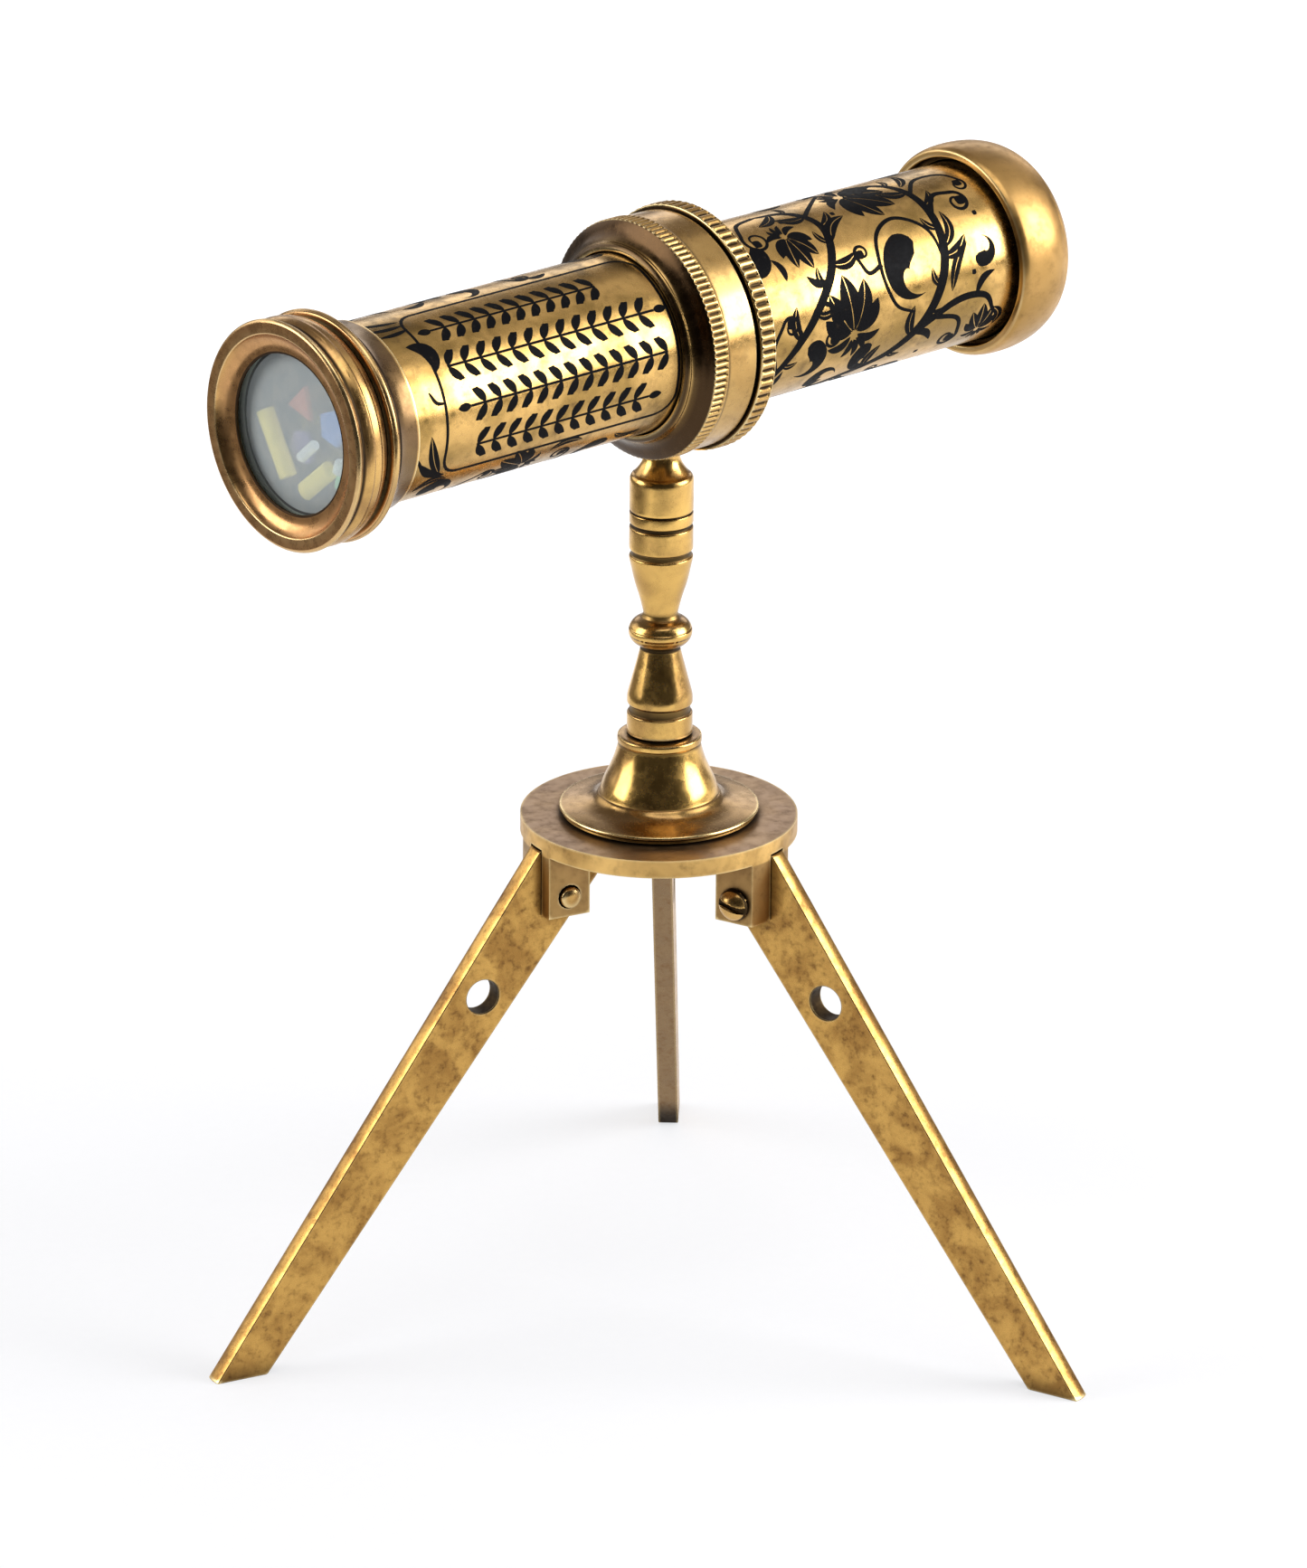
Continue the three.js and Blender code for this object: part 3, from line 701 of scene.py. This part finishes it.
def circle(centre, radius, steps=64):
    return [Vector((centre.x + radius * cos(a), centre.y + radius * sin(a)))
            for a in (2 * pi * k / steps for k in range(steps))]


def inset(points, depth_of):
    """A convex outline, anticlockwise, with each side moved inwards by depth_of(its normal)."""
    sides = []
    for i, point in enumerate(points):
        along = (points[(i + 1) % len(points)] - point).normalized()
        normal = Vector((along.y, -along.x))
        sides.append((normal, depth_of(normal)))
    result = []
    for i, point in enumerate(points):
        (first, low), (second, high) = sides[i - 1], sides[i]
        turn = first.x * second.y - first.y * second.x
        shift = Vector((high * first.y - low * second.y, low * second.x - high * first.x))
        result.append(point + shift / turn)
    return result


def layers(half, edge, steps=8):
    """(height, inset of the edge) of the layers across a bar with small rounded edges."""
    near = [(-half, edge), (-half + 0.3 * edge, 0.3 * edge)]
    inner = half - edge
    middle = [(inner * (2 * k / steps - 1), 0) for k in range(steps + 1)]
    return near + middle + [(-height, depth) for height, depth in reversed(near)]


def walled(built, loops):
    """Joins closed loops of (x, height, z) by rows of faces. Gives the two outer loops' edges."""
    rings = [[built.verts.new(p) for p in loop] for loop in loops]
    for low, high in zip(rings, rings[1:]):
        for i in range(len(low)):
            j = (i + 1) % len(low)
            built.faces.new((low[i], low[j], high[j], high[i]))
    return [[built.edges.get((ring[i - 1], ring[i])) for i in range(len(ring))]
            for ring in (rings[0], rings[-1])]


LEG_CROWN_MM = 0.22   # how far the bar's outer side bulges in the middle
LEG_EDGE_MM = 0.14    # rounding of its edges


def leg(name):
    """Flat leg with round holes and a crowned outer side, from its CAD node's outline."""
    outline, holes, half = leg_plan(name)
    built = bmesh.new()
    loops = []
    for height, edge in layers(half, LEG_EDGE_MM):
        bulge = LEG_CROWN_MM * (height / half) ** 2
        flat = inset(outline, lambda normal: edge + (bulge if normal.x > 0.3 else 0))
        loops.append([(p.x, height, p.y) for p in softened(flat, True, 0.3, radians(20))])
    bottom, top = walled(built, loops)
    for centre, radius in holes:
        loops = []
        for height, edge in layers(half, LEG_EDGE_MM, 1):
            loops.append([(p.x, height, p.y) for p in circle(centre, radius + edge)])
        low, high = walled(built, loops)
        bottom += low
        top += high
    for rim in (bottom, top):
        bmesh.ops.triangle_fill(built, edges=rim, use_beauty=True)
    bmesh.ops.recalc_face_normals(built, faces=built.faces[:])
    bmesh.ops.dissolve_limit(built, angle_limit=radians(0.3), verts=built.verts, edges=built.edges)
    obj = new_object(name + "_fine", built, leg_frame(name))
    even_shading(obj)
    return fit(obj, name, "leg_brass")


def carved(obj, cutter):
    """Cuts one object out of another and removes the cutter."""
    cut = obj.modifiers.new("cut", "BOOLEAN")
    cut.operation = "DIFFERENCE"
    cut.solver = "EXACT"
    cut.object = cutter
    obj.modifiers.move(len(obj.modifiers) - 1, 0)
    bpy.context.view_layer.update()
    solid = bpy.data.meshes.new_from_object(obj.evaluated_get(bpy.context.evaluated_depsgraph_get()))
    obj.modifiers.clear()
    obj.data = solid
    obj.data.set_sharp_from_angle(angle=radians(40))
    bpy.data.objects.remove(cutter)


SCREW_SLOT_DEGREES = -12
SCREW_SLOT_MM = (1.05, 1.15)    # width and depth


def pivot_screw(leg_name):
    """Slotted round-headed screw in a leg's hinge, measured from its CAD node."""
    node = leg_name.replace("leg", "pivot_screw")
    station = leg_frame(leg_name)
    across = station.col[1].to_3d()
    matrix = axis_frame(Vector(JOINTS[leg_name + "_fold"]["pos_m"]), UP, -across)
    mesh = node_mesh(node, matrix)
    girth = [(hypot(v.co.x, v.co.y) / MM, v.co.z / MM) for v in mesh.verts]
    mesh.free()
    low, high = min(z for _, z in girth), max(z for _, z in girth)
    head = max(r for r, _ in girth)
    shoulder = min(z for r, z in girth if r > head - 0.1)
    shank = max(r for r, z in girth if z < shoulder - 0.5)
    dome = [Vector((head * cos(a), shoulder + (high - shoulder) * sin(a)))
            for a in (radians(9 * k) for k in range(11))]
    dome[-1].x = 0
    points = [Vector(p) for p in ((0, low), (shank - 0.3, low), (shank, low + 0.3), (shank, shoulder),
                                  (head - 0.25, shoulder), (head, shoulder + 0.2))] + dome[1:]
    obj = spin(node + "_fine", guarded(points, False), False, matrix, 72)
    wide, deep = SCREW_SLOT_MM
    box = bmesh.new()
    bmesh.ops.create_cube(box, size=1)
    bmesh.ops.scale(box, verts=box.verts, vec=(wide, head * 3, deep * 2))
    bmesh.ops.translate(box, verts=box.verts, vec=(0, 0, high))
    bmesh.ops.rotate(box, verts=box.verts, cent=(0, 0, 0),
                     matrix=Matrix.Rotation(radians(SCREW_SLOT_DEGREES), 3, "Z"))
    carved(obj, new_object("slot_cutter", box, matrix))
    # Painted shade on the slot's floor and on the head's dome below it.
    paint_shade(obj, lambda p: shoulder + 0.1 < p.z < high - deep + 0.05 and hypot(p.x, p.y) < head)
    fit(obj, node, "screw_brass")


def tripod():
    edged("tripod_head", "head_brass", 0.4)
    for name in ("leg_left", "leg_right", "leg_back"):
        leg(name)
        pivot_screw(name)
    edged("base_screw", "screw_brass", 0.15)


def loose_pieces():
    for chip in ("yellow_long", "yellow_short", "clear_rod", "clear_bead",
                 "orange", "blue", "violet", "green"):
        edged("chip_" + chip, chip.split("_")[0] + "_plastic", 0.15, angle=40)


def light_path():
    for letter in "abc":
        edged("mirror_strip_" + letter, "mirror_glass", 0.1)
    for end in ("front", "rear"):
        edged("mirror_packing_" + end, "black_card", 0.1)


# ---- ornament ----
TUBE_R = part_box("tube")[1].z / MM - BARREL.translation.z / MM
FACING = radians(63)       # from straight up round to the girth that faces the front
GIRTH = 2 * pi * TUBE_R
PROUD_MM = 0.015
SUNK_MM = 0.3
STRIP_MM = 0.8             # widest flat strip, so that shapes follow the tube's curve

# Petals of a flower: turn in degrees, and length and half-width as shares of its size.
PETALS = ((0, 1.0, 0.23), (25, 0.88, 0.2), (-25, 0.88, 0.2), (52, 0.68, 0.16), (-52, 0.68, 0.16),
          (100, 0.5, 0.09), (-100, 0.5, 0.09))


class Engraving:
    """Enamel shapes drawn flat as (station, girth) in mm and wrapped on the tube as thin solids."""

    def __init__(self, name, station=0.0, girth=0.0, vein_over=0.8):
        self.name = name
        self.vein_over = vein_over
        self.mesh = bmesh.new()
        self.shift = Vector((station, girth))
        self.layer = 0

    def wrapped(self, flat, radius):
        turn = FACING - flat.y / TUBE_R
        return self.mesh.verts.new((radius * cos(turn), radius * sin(turn), flat.x))

    def band(self, path, lows, highs):
        """Closed solid between two offsets, left and right of a path."""
        self.layer = (self.layer + 1) % 12
        outer, inner = TUBE_R + PROUD_MM + self.layer * 0.0008, TUBE_R - SUNK_MM
        strips = max(1, ceil(max(h - l for l, h in zip(lows, highs)) / STRIP_MM))
        last = len(path) - 1
        top, bottom = [], []
        for i, at in enumerate(path):
            along = path[min(i + 1, last)] - path[max(i - 1, 0)]
            across = Vector((-along.y, along.x)).normalized()
            flat = [at + self.shift + across * (lows[i] + (highs[i] - lows[i]) * k / strips)
                    for k in range(strips + 1)]
            top.append([self.wrapped(p, outer) for p in flat])
            bottom.append([self.wrapped(p, inner) for p in flat])
        new = self.mesh.faces.new
        for i in range(last):
            for k in range(strips):
                new((top[i][k], top[i][k + 1], top[i + 1][k + 1], top[i + 1][k]))
                new((bottom[i][k], bottom[i + 1][k], bottom[i + 1][k + 1], bottom[i][k + 1]))
            for k in (0, strips):
                new((top[i][k], top[i + 1][k], bottom[i + 1][k], bottom[i][k]))
        for i in (0, last):
            for k in range(strips):
                new((top[i][k], top[i][k + 1], bottom[i][k + 1], bottom[i][k]))

    def stroke(self, path, width_at):
        """Band of even half-width rule on both sides of a path; width_at takes 0..1 along it."""
        last = len(path) - 1
        widths = [max(0.035, width_at(i / last)) for i in range(last + 1)]
        self.band(path, [-w for w in widths], widths)

    def stem(self, points, thick, thin=0.2):
        self.stroke(through(points), lambda t: thin + (thick * 1.6 - thin) * sin(pi * t) ** 0.6)

    def leafy(self, points, every=5.6, start=0.5):
        """Leaves along a stem, on its two sides in turn and of uneven size."""
        path = through(points, spacing=every)
        for k in range(1, len(path) - 1):
            side = 1 if k % 2 else -1
            heading = degrees(atan2(*(path[k + 1] - path[k - 1]).yx))
            size = 0.82 + 0.26 * sin(k * 2.3 + start)
            self.leaf(path[k], heading + side * 48, 5.4 * size, size, 0.16 * side, vein=0.13)

    def tendril(self, points, curl, thick=0.36):
        """Thin stem that ends in a spiral with a round bud. curl is (radius, turns), signed."""
        path = through(points)
        heading = (path[-1] - path[-2]).normalized()
        radius, turns = curl
        sense = copysign(1, turns)
        centre = path[-1] + Vector((-heading.y, heading.x)) * radius * sense
        from_centre = path[-1] - centre
        start = atan2(from_centre.y, from_centre.x)
        steps = max(10, int(abs(turns) * 26))
        for k in range(1, steps + 1):
            t = k / steps
            r = radius * (1 - 0.68 * t)
            a = start + turns * 2 * pi * t
            path.append(centre + ray(a, r))
        self.stroke(path, lambda t: thick * 1.3 * (1 - 0.6 * t))
        self.dot(path[-1], thick * 2.5)

    def dot(self, at, radius):
        path = [Vector((at.x + radius * cos(pi * (1 - k / 8)), at.y)) for k in range(9)]
        self.stroke(path, lambda t: radius * sqrt(max(0, 1 - (2 * t - 1) ** 2)))

    def leaf(self, at, angle, length, half, bend=0.15, vein=0.0):
        """Pointed leaf from its stalk; vein leaves a bright line of that width along it."""
        a = radians(angle)
        ahead, side = ray(a), ray(a + pi / 2)
        path = [Vector(at) + ahead * length * t + side * length * bend * sin(pi * t)
                for t in (k / 12 for k in range(13))]
        widths = [max(0.03, half * 2.9 * (k / 12) ** 0.75 * (1 - k / 12) ** 0.85) for k in range(13)]
        if not vein:
            self.band(path, [-w for w in widths], widths)
            return
        gap = [min(vein / 2, w * 0.5) for w in widths]
        self.band(path, gap, widths)
        self.band(path, [-w for w in widths], [-g for g in gap])

    def veined(self, at, angle, length, half, bend):
        """Leaf with a vein if it is wide enough for one."""
        self.leaf(at, angle, length, half, bend, vein=0.13 if half > self.vein_over else 0)

    def flower(self, at, angle, size):
        """Lotus-like flower: a fan of pointed petals over a small calyx of drops."""
        for turn, reach, half in PETALS:
            base = Vector(at) + ray(radians(angle + turn), size * 0.08)
            self.leaf(base, angle + turn, size * reach, size * half, bend=0.12 * turn / 56,
                      vein=0.17 if abs(turn) < 30 else 0)
        for turn in (150, 180, 210):
            base = Vector(at) + ray(radians(angle + turn), size * 0.10)
            self.leaf(base, angle + turn, size * 0.36, size * 0.07)

    def comma(self, at, angle, size, sense=1):
        """Round-headed drop whose tail curls away."""
        start, sweep = radians(angle), radians(235) * sense
        path = [Vector(at) + ray(start + sweep * t, size * (0.62 + 0.55 * t))
                for t in (k / 24 for k in range(25))]
        head = 0.22

        def width(t):
            if t < head:
                return size * 0.78 * sqrt(max(0.0, 1 - ((head - t) / head) ** 2))
            return size * 0.78 * (1 - (t - head) / (1 - head)) ** 1.1
        self.stroke(path, width)

    def finish(self):
        obj = new_object(self.name, self.mesh, BARREL, smooth=False)
        obj.data.materials.append(BLACK_ENAMEL)
        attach(obj, BODY_OF["tube"])
        return obj


def through(points, spacing=0.5):
    """Smooth path through flat points, with a point about every spacing mm."""
    knots = [Vector(p) for p in points]
    knots = [knots[0] * 2 - knots[1], *knots, knots[-1] * 2 - knots[-2]]
    path = []
    for a, b, c, d in zip(knots, knots[1:], knots[2:], knots[3:]):
        parts = max(2, ceil((c - b).length / spacing))
        for k in range(parts):
            t = k / parts
            path.append(0.5 * (b * 2 + (c - a) * t + (a * 2 - b * 5 + c * 4 - d) * t * t
                               + (b * 3 - a - c * 3 + d) * t ** 3))
    path.append(knots[-2])
    return path


def each(draw, *rows):
    for row in rows:
        draw(*row)


# Vine on the eyepiece side. Each shape is laid out from the tile's corner by the lock ring.
REAR_START = 7.0


def rear_tile(name, girth):
    vine = Engraving(name, REAR_START, girth)
    low = [(-0.5, -20), (6, -12), (12.5, -4.5), (18, 2.5), (20.5, 9.5), (17.5, 15), (12, 16.5)]
    high = [(12, -23.5), (21, -20), (30, -16), (36.5, -9.5), (40.5, -1), (41.3, 8), (39, 15), (33.5, 19)]
    vine.stem(low, 0.5)
    vine.leafy(low)
    vine.tendril([(12, 16.5), (7.5, 15.2), (5.2, 11.2)], (2.4, 1.25), 0.32)
    vine.stem(high, 0.56)
    vine.leafy(high, every=5.4, start=2)
    vine.stem([(30, -16), (37, -11), (43, -8.5), (48.5, -9), (51, -12.5)], 0.42)
    vine.stem([(40.2, -2.5), (39, 4), (34, 7.4), (28.8, 5), (27.2, -1), (29.2, -6.4), (33.4, -8.6)],
              0.22)
    each(vine.tendril,
         ([(41.3, 6), (44.2, 9.6), (48, 9.4)], (2.1, -1.2)),
         ([(40.6, 11), (44.6, 14.6), (49.5, 14.4), (51.8, 11.4)], (1.5, -0.9), 0.3),
         ([(38, -10.5), (43.2, -12), (44.6, -15.6)], (2, -1.1)),
         ([(14, -2.8), (17.5, -5.2), (17.6, -9.2)], (1.7, -1.1), 0.32),
         ([(27.6, 0.4), (24.6, -0.4), (23.2, 2.4)], (1.5, -1), 0.3),
         ([(19.6, 12.6), (24, 16), (27.5, 18.8)], (1.9, 1.1), 0.32),
         ([(5, -13.6), (3.6, -8.4), (5.6, -4.6)], (1.8, -1.15), 0.32),
         ([(22, -19.8), (25, -22.6), (29.5, -22.2)], (1.5, 1), 0.3))
    each(vine.comma,
         ((33.4, -1.4), 60, 4.1), ((11.6, -12.6), 110, 2.7, -1), ((25, -15.4), 80, 2.5),
         ((3.4, 6.6), 60, 2.6, -1), ((48.6, -1.4), 200, 1.9), ((33.6, 21), 20, 2.6),
         ((17.2, -18.2), 250, 2.2, -1))
    each(vine.flower,
         ((20.5, -9.6), 98, 9.4), ((29.5, 15.6), -38, 8.4), ((12.6, 9.4), -75, 6.4), ((49.2, -16.2), 95, 5.2))
    each(vine.veined,
         ((20.4, 6.2), 38, 7, 1.05, 0.16), ((7.6, -10.4), 72, 4.6, 0.75, -0.15),
         ((1.6, -17.2), 40, 6.4, 0.80, -0.2), ((37.6, 17.2), 160, 5, 0.9, 0.2),
         ((40.9, 13.6), 66, 5.6, 0.85, -0.15), ((41.2, -6.8), 58, 8.6, 0.95, 0.12),
         ((41, 0.4), 70, 6.4, 0.95, -0.2), ((46.5, -8.6), 42, 5.2, 0.7, 0.2),
         ((50.8, -11.8), -70, 4.4, 0.85, 0.25), ((34.2, -12.8), -30, 4.8, 0.75, 0.2),
         ((26.4, -17.6), 150, 4.6, 0.7, 0.2), ((17, -21.6), 25, 5, 0.7, -0.2),
         ((16.4, 0.2), 160, 4.4, 0.75, 0.2), ((8.2, 1.8), 105, 4.2, 0.65, -0.15),
         ((20.8, 19.8), 170, 5.4, 0.8, 0.2), ((1.4, 18.4), 10, 6, 0.85, 0.22),
         ((46.6, 20.2), 160, 5.2, 0.8, 0.2), ((9, 20.8), 20, 4.4, 0.6, 0.2))
    for at in ((49.6, 4.6), (24.6, 11.6), (10.6, 6.2), (37.4, -18.2), (46, -4.6), (14.8, 12.8)):
        vine.dot(Vector(at), 0.42)
    vine.finish()


# Lower and upper vines round the panel on the object cell's side.
FRONT_START = -61.6
PANEL_LOW, PANEL_HIGH = -56.4, -9.4
PANEL_HALF_GIRTH = 14.8
PANEL_CORNER = 3.6


def front_tile(name, girth):
    vine = Engraving(name, FRONT_START, girth, vein_over=0.78)
    wave = [(-0.5, 3.5), (7, 9.5), (14.5, 17.5), (23, 20.5), (30.5, 15.5), (37, 8.5), (45.5, 7.2), (53.5, 12)]
    vine.stem(wave, 0.5)
    vine.leafy(wave)
    each(vine.tendril,
         ([(8, 10.4), (4, 14), (4.2, 18.6)], (2.2, -1.2)),
         ([(15, 17.8), (12.6, 22.8), (15.8, 26.4)], (1.9, -1.1), 0.32),
         ([(28, 17.8), (32.6, 21), (33.6, 25.4)], (1.9, 1.1), 0.32),
         ([(36, 9.4), (31.8, 6.6), (31.8, 2.8)], (1.8, 1.2)),
         ([(44, 7.2), (46.6, 3.6), (50.4, 3.2)], (1.5, 1.1), 0.3),
         ([(40, 7.4), (41.6, 12.2), (39.8, 16.4)], (1.8, 1.2), 0.32))
    each(vine.flower, ((14.6, 9.6), -25, 7.4), ((24.4, 25.4), 150, 6.4), ((45.6, 15.6), 70, 7.2))
    each(vine.comma,
         ((25.6, 12.2), 60, 3.3), ((6.8, 25), 200, 2.5, -1), ((39.6, 23.4), 30, 2.5),
         ((22, 3), 120, 2.3, -1))
    each(vine.veined,
         ((3.4, 6.6), -35, 5.6, 0.8, 0.2), ((9.6, 12.4), 165, 5.2, 0.8, -0.2),
         ((19.6, 20), 62, 5.4, 0.85, 0.2), ((21.6, 20.4), -55, 5, 0.8, -0.15),
         ((32.4, 13.2), 10, 5.6, 0.85, 0.2), ((34.2, 11), -100, 4.6, 0.7, 0.2),
         ((48.4, 8.6), 45, 5, 0.8, -0.2), ((51.6, 10.6), -60, 5.2, 0.8, 0.2),
         ((1.4, 27), 15, 6.2, 0.8, 0.2), ((28.6, 28.2), 5, 6.4, 0.8, 0.15),
         ((48, 26.6), 170, 5.8, 0.85, 0.2), ((10, 2.6), 20, 5.6, 0.75, -0.2),
         ((38, 1.8), 175, 4.4, 0.65, 0.2))
    vine.finish()


def panel_edge():
    """Thin rounded outline, with the vine's leaf ends showing past its side by the object cell."""
    edge = Engraving("panel_outline")
    middle = Vector(((PANEL_LOW + PANEL_HIGH) / 2, 0))
    half = Vector(((PANEL_HIGH - PANEL_LOW) / 2, PANEL_HALF_GIRTH))
    loop = []
    for quarter, (sx, sy) in enumerate(((1, 1), (-1, 1), (-1, -1), (1, -1))):
        centre = middle + Vector((sx * (half.x - PANEL_CORNER), sy * (half.y - PANEL_CORNER)))
        loop += [centre + ray(radians(90 * quarter + 15 * k), PANEL_CORNER) for k in range(7)]
    loop = [p.to_2d() for p in spaced(loop, True, 0.8)]
    loop += loop[:2]
    edge.stroke(loop, lambda t: 0.27)
    for girth, turn, length in ((12.6, 176, 7.4), (11.4, 184, 6.0), (13.8, 166, 8.6)):
        edge.leaf((PANEL_LOW + 0.4, girth), turn, length, 0.42, 0.05)
    edge.leaf((PANEL_LOW + 0.2, 2.6), 118, 6.0, 1.5, -0.32)
    edge.leaf((PANEL_LOW - 0.1, -14.6), 112, 8.2, 1.0, 0.08, vein=0.13)
    edge.leaf((PANEL_LOW + 0.6, -14.8), 148, 6.4, 0.8, 0.12)
    edge.stem([(PANEL_LOW, -2.4), (PANEL_LOW - 1.6, -2.0), (PANEL_LOW - 2.6, -0.2)], 0.2, 0.1)
    edge.stem([(PANEL_LOW + 1, -15), (PANEL_LOW - 3, -14), (PANEL_LOW - 5.6, -10.5)], 0.22)
    edge.finish()


# Rows of laurel that fill the panel: (first station, last station, girth of the row).
PANEL_ROWS = ((-52.6, -19.4, 9.8), (-53.8, -12.0, 3.0), (-51.4, -11.4, -3.8), (-50.2, -15.2, -10.4))
LAUREL_MM = 3.1


def panel_rows():
    """Paired leaves and berries on straight stalks, which run left and right in turn."""
    rows = Engraving("panel_rows")
    for number, (first, last, girth) in enumerate(PANEL_ROWS):
        pairs = round((last - first) / LAUREL_MM)
        step = (last - first) / pairs
        rows.stroke([Vector((first + step * k / 2, girth)) for k in range(2 * pairs + 1)], lambda t: 0.2)
        ahead = 1 if number % 2 else -1
        root = first if ahead > 0 else last
        for k in range(pairs):
            at = root + ahead * step * (k + 0.05)
            for side in (1, -1):
                turn = 46 * side if ahead > 0 else 180 - 46 * side
                rows.leaf((at, girth + 0.1 * side), turn, 3.3, 0.78, 0.10 * side * ahead)
                rows.dot(Vector((at + ahead * step * 0.42, girth + 2.3 * side)), 0.34)
        rows.leaf((root + ahead * (last - first), girth), 0 if ahead > 0 else 180, 2.6, 0.7, 0)
    rows.finish()


TILES = 2               # each vine goes round the tube in this many equal parts


def ornament():
    free_girth = GIRTH - 2 * PANEL_HALF_GIRTH
    for k in range(TILES):
        rear_tile(f"rear_vine_{k + 1}", GIRTH * k / TILES)
    for k in range(TILES):
        front_tile(f"front_vine_{k + 1}", PANEL_HALF_GIRTH + free_girth * k / TILES + 0.4)
    panel_edge()
    panel_rows()


# ---- stage ----
LENS_MM, SENSOR_MM = 271.25, 36.0
CAMERA_AWAY = 1.872
CAMERA_BEARING, CAMERA_TILT, CAMERA_ROLL = 1.658, 20.889, 0.481    # degrees
LOOK_AT_Z, LOOK_LEFT = 0.0873, 0.00089


def camera():
    bearing, tilt = radians(CAMERA_BEARING), radians(CAMERA_TILT)
    back = Vector((sin(bearing) * cos(tilt), -cos(bearing) * cos(tilt), sin(tilt)))
    right = Vector((cos(bearing), sin(bearing), 0))
    target = Vector((POST_AT.x, POST_AT.y, LOOK_AT_Z)) - right * LOOK_LEFT
    data = bpy.data.cameras.new("camera")
    data.lens = LENS_MM
    data.sensor_width = SENSOR_MM
    data.clip_start, data.clip_end = 0.05, 20
    obj = bpy.data.objects.new("camera", data)
    SCENE.collection.objects.link(obj)
    turn = (-back).to_track_quat("-Z", "Y").to_matrix().to_4x4()
    obj.matrix_world = Matrix.Translation(target + back * CAMERA_AWAY) @ turn @ Matrix.Rotation(
        radians(CAMERA_ROLL), 4, "Z")
    SCENE.camera = obj


def softbox(name, azimuth, elevation, away, width, height, watts):
    """Rectangular light aimed at the object. Azimuth 0 is in front, 90 to the right."""
    a, e = radians(azimuth), radians(elevation)
    out = Vector((sin(a) * cos(e), -cos(a) * cos(e), sin(e)))
    data = bpy.data.lights.new(name, "AREA")
    data.shape = "RECTANGLE"
    data.size, data.size_y = width, height
    data.energy = watts
    obj = bpy.data.objects.new(name, data)
    SCENE.collection.objects.link(obj)
    obj.location = Vector((0, 0, 0.1)) + out * away
    obj.rotation_mode = "QUATERNION"
    obj.rotation_quaternion = (-out).to_track_quat("-Z", "Y")
    obj.visible_camera = False


def floor():
    mesh = bmesh.new()
    left, right, front, back = -330, 1400, -420, 2600
    corners = [(left, front), (right, front), (right, back), (left, back)]
    mesh.faces.new([mesh.verts.new((x, y, -0.02)) for x, y in corners])
    obj = new_object("floor", mesh, smooth=False)
    nodes = Nodes("floor_paper")
    grain = nodes.noise(2.0, detail=3.0)
    nodes.set("Base Color", nodes.mix(grain, (0.30, 0.30, 0.31), (0.32, 0.32, 0.33)))
    nodes.set("Roughness", 0.9)
    nodes.set("Emission Color", (0.97, 0.98, 1))
    away = nodes.add("VectorMath", "Value", {0: nodes.place}, operation="LENGTH")
    nodes.set("Emission Strength", nodes.spread(away, 0.1, 0.6, 0.65, 0.97))
    obj.data.materials.append(nodes.material)


def surroundings():
    """Dim studio, darkest in front, but plain white where the camera sees past the floor."""
    world = bpy.data.worlds.new("studio")
    SCENE.world = world
    world.use_nodes = True
    nodes = Tree(world.node_tree)
    nodes.tree.nodes.clear()
    depth = nodes.part(nodes.add("TexCoord", "Generated"), 1)
    bright = nodes.spread(depth, -0.7, 0.6, 0.08, 0.62, "LINEAR")
    room = nodes.add("Background", 0, {"Color": (0.43, 0.39, 0.36), "Strength": bright})
    white = nodes.add("Background", 0, {"Color": (1, 1, 1)})
    seen = nodes.add("LightPath", "Is Camera Ray")
    both = nodes.add("MixShader", 0, {0: seen, 1: room, 2: white})
    nodes.feed(both, nodes.tree.nodes.new("ShaderNodeOutputWorld").inputs["Surface"])


# Azimuth and elevation in degrees, distance, width and height in metres, and watts.
SOFTBOXES = {
    "right_box": (88, 20.5, 1.1, 0.7, 0.56, 11.2),
    "right_high_box": (86, 43, 1.2, 0.6, 0.3, 1.6),
    "left_box": (-83, 22, 1.1, 0.6, 0.7, 6.5),
    "left_back_box": (-121, 20, 1.2, 0.6, 0.6, 1.6),
    "high_box": (128, 50, 1.3, 0.9, 0.7, 0.8),
    "top_box": (10, 78, 1.3, 1.0, 0.8, 6.3),
    "back_box": (180, 20, 1.5, 1.6, 0.4, 3.2),
}


def studio():
    for name, place in SOFTBOXES.items():
        softbox(name, *place)
    view = SCENE.view_settings
    view.view_transform = "Standard"
    view.look = "None"
    view.exposure = 0.0


camera()
floor()
surroundings()
studio()
tripod()
post()
collar()
barrel()
cell()
loose_pieces()
light_path()
ornament()
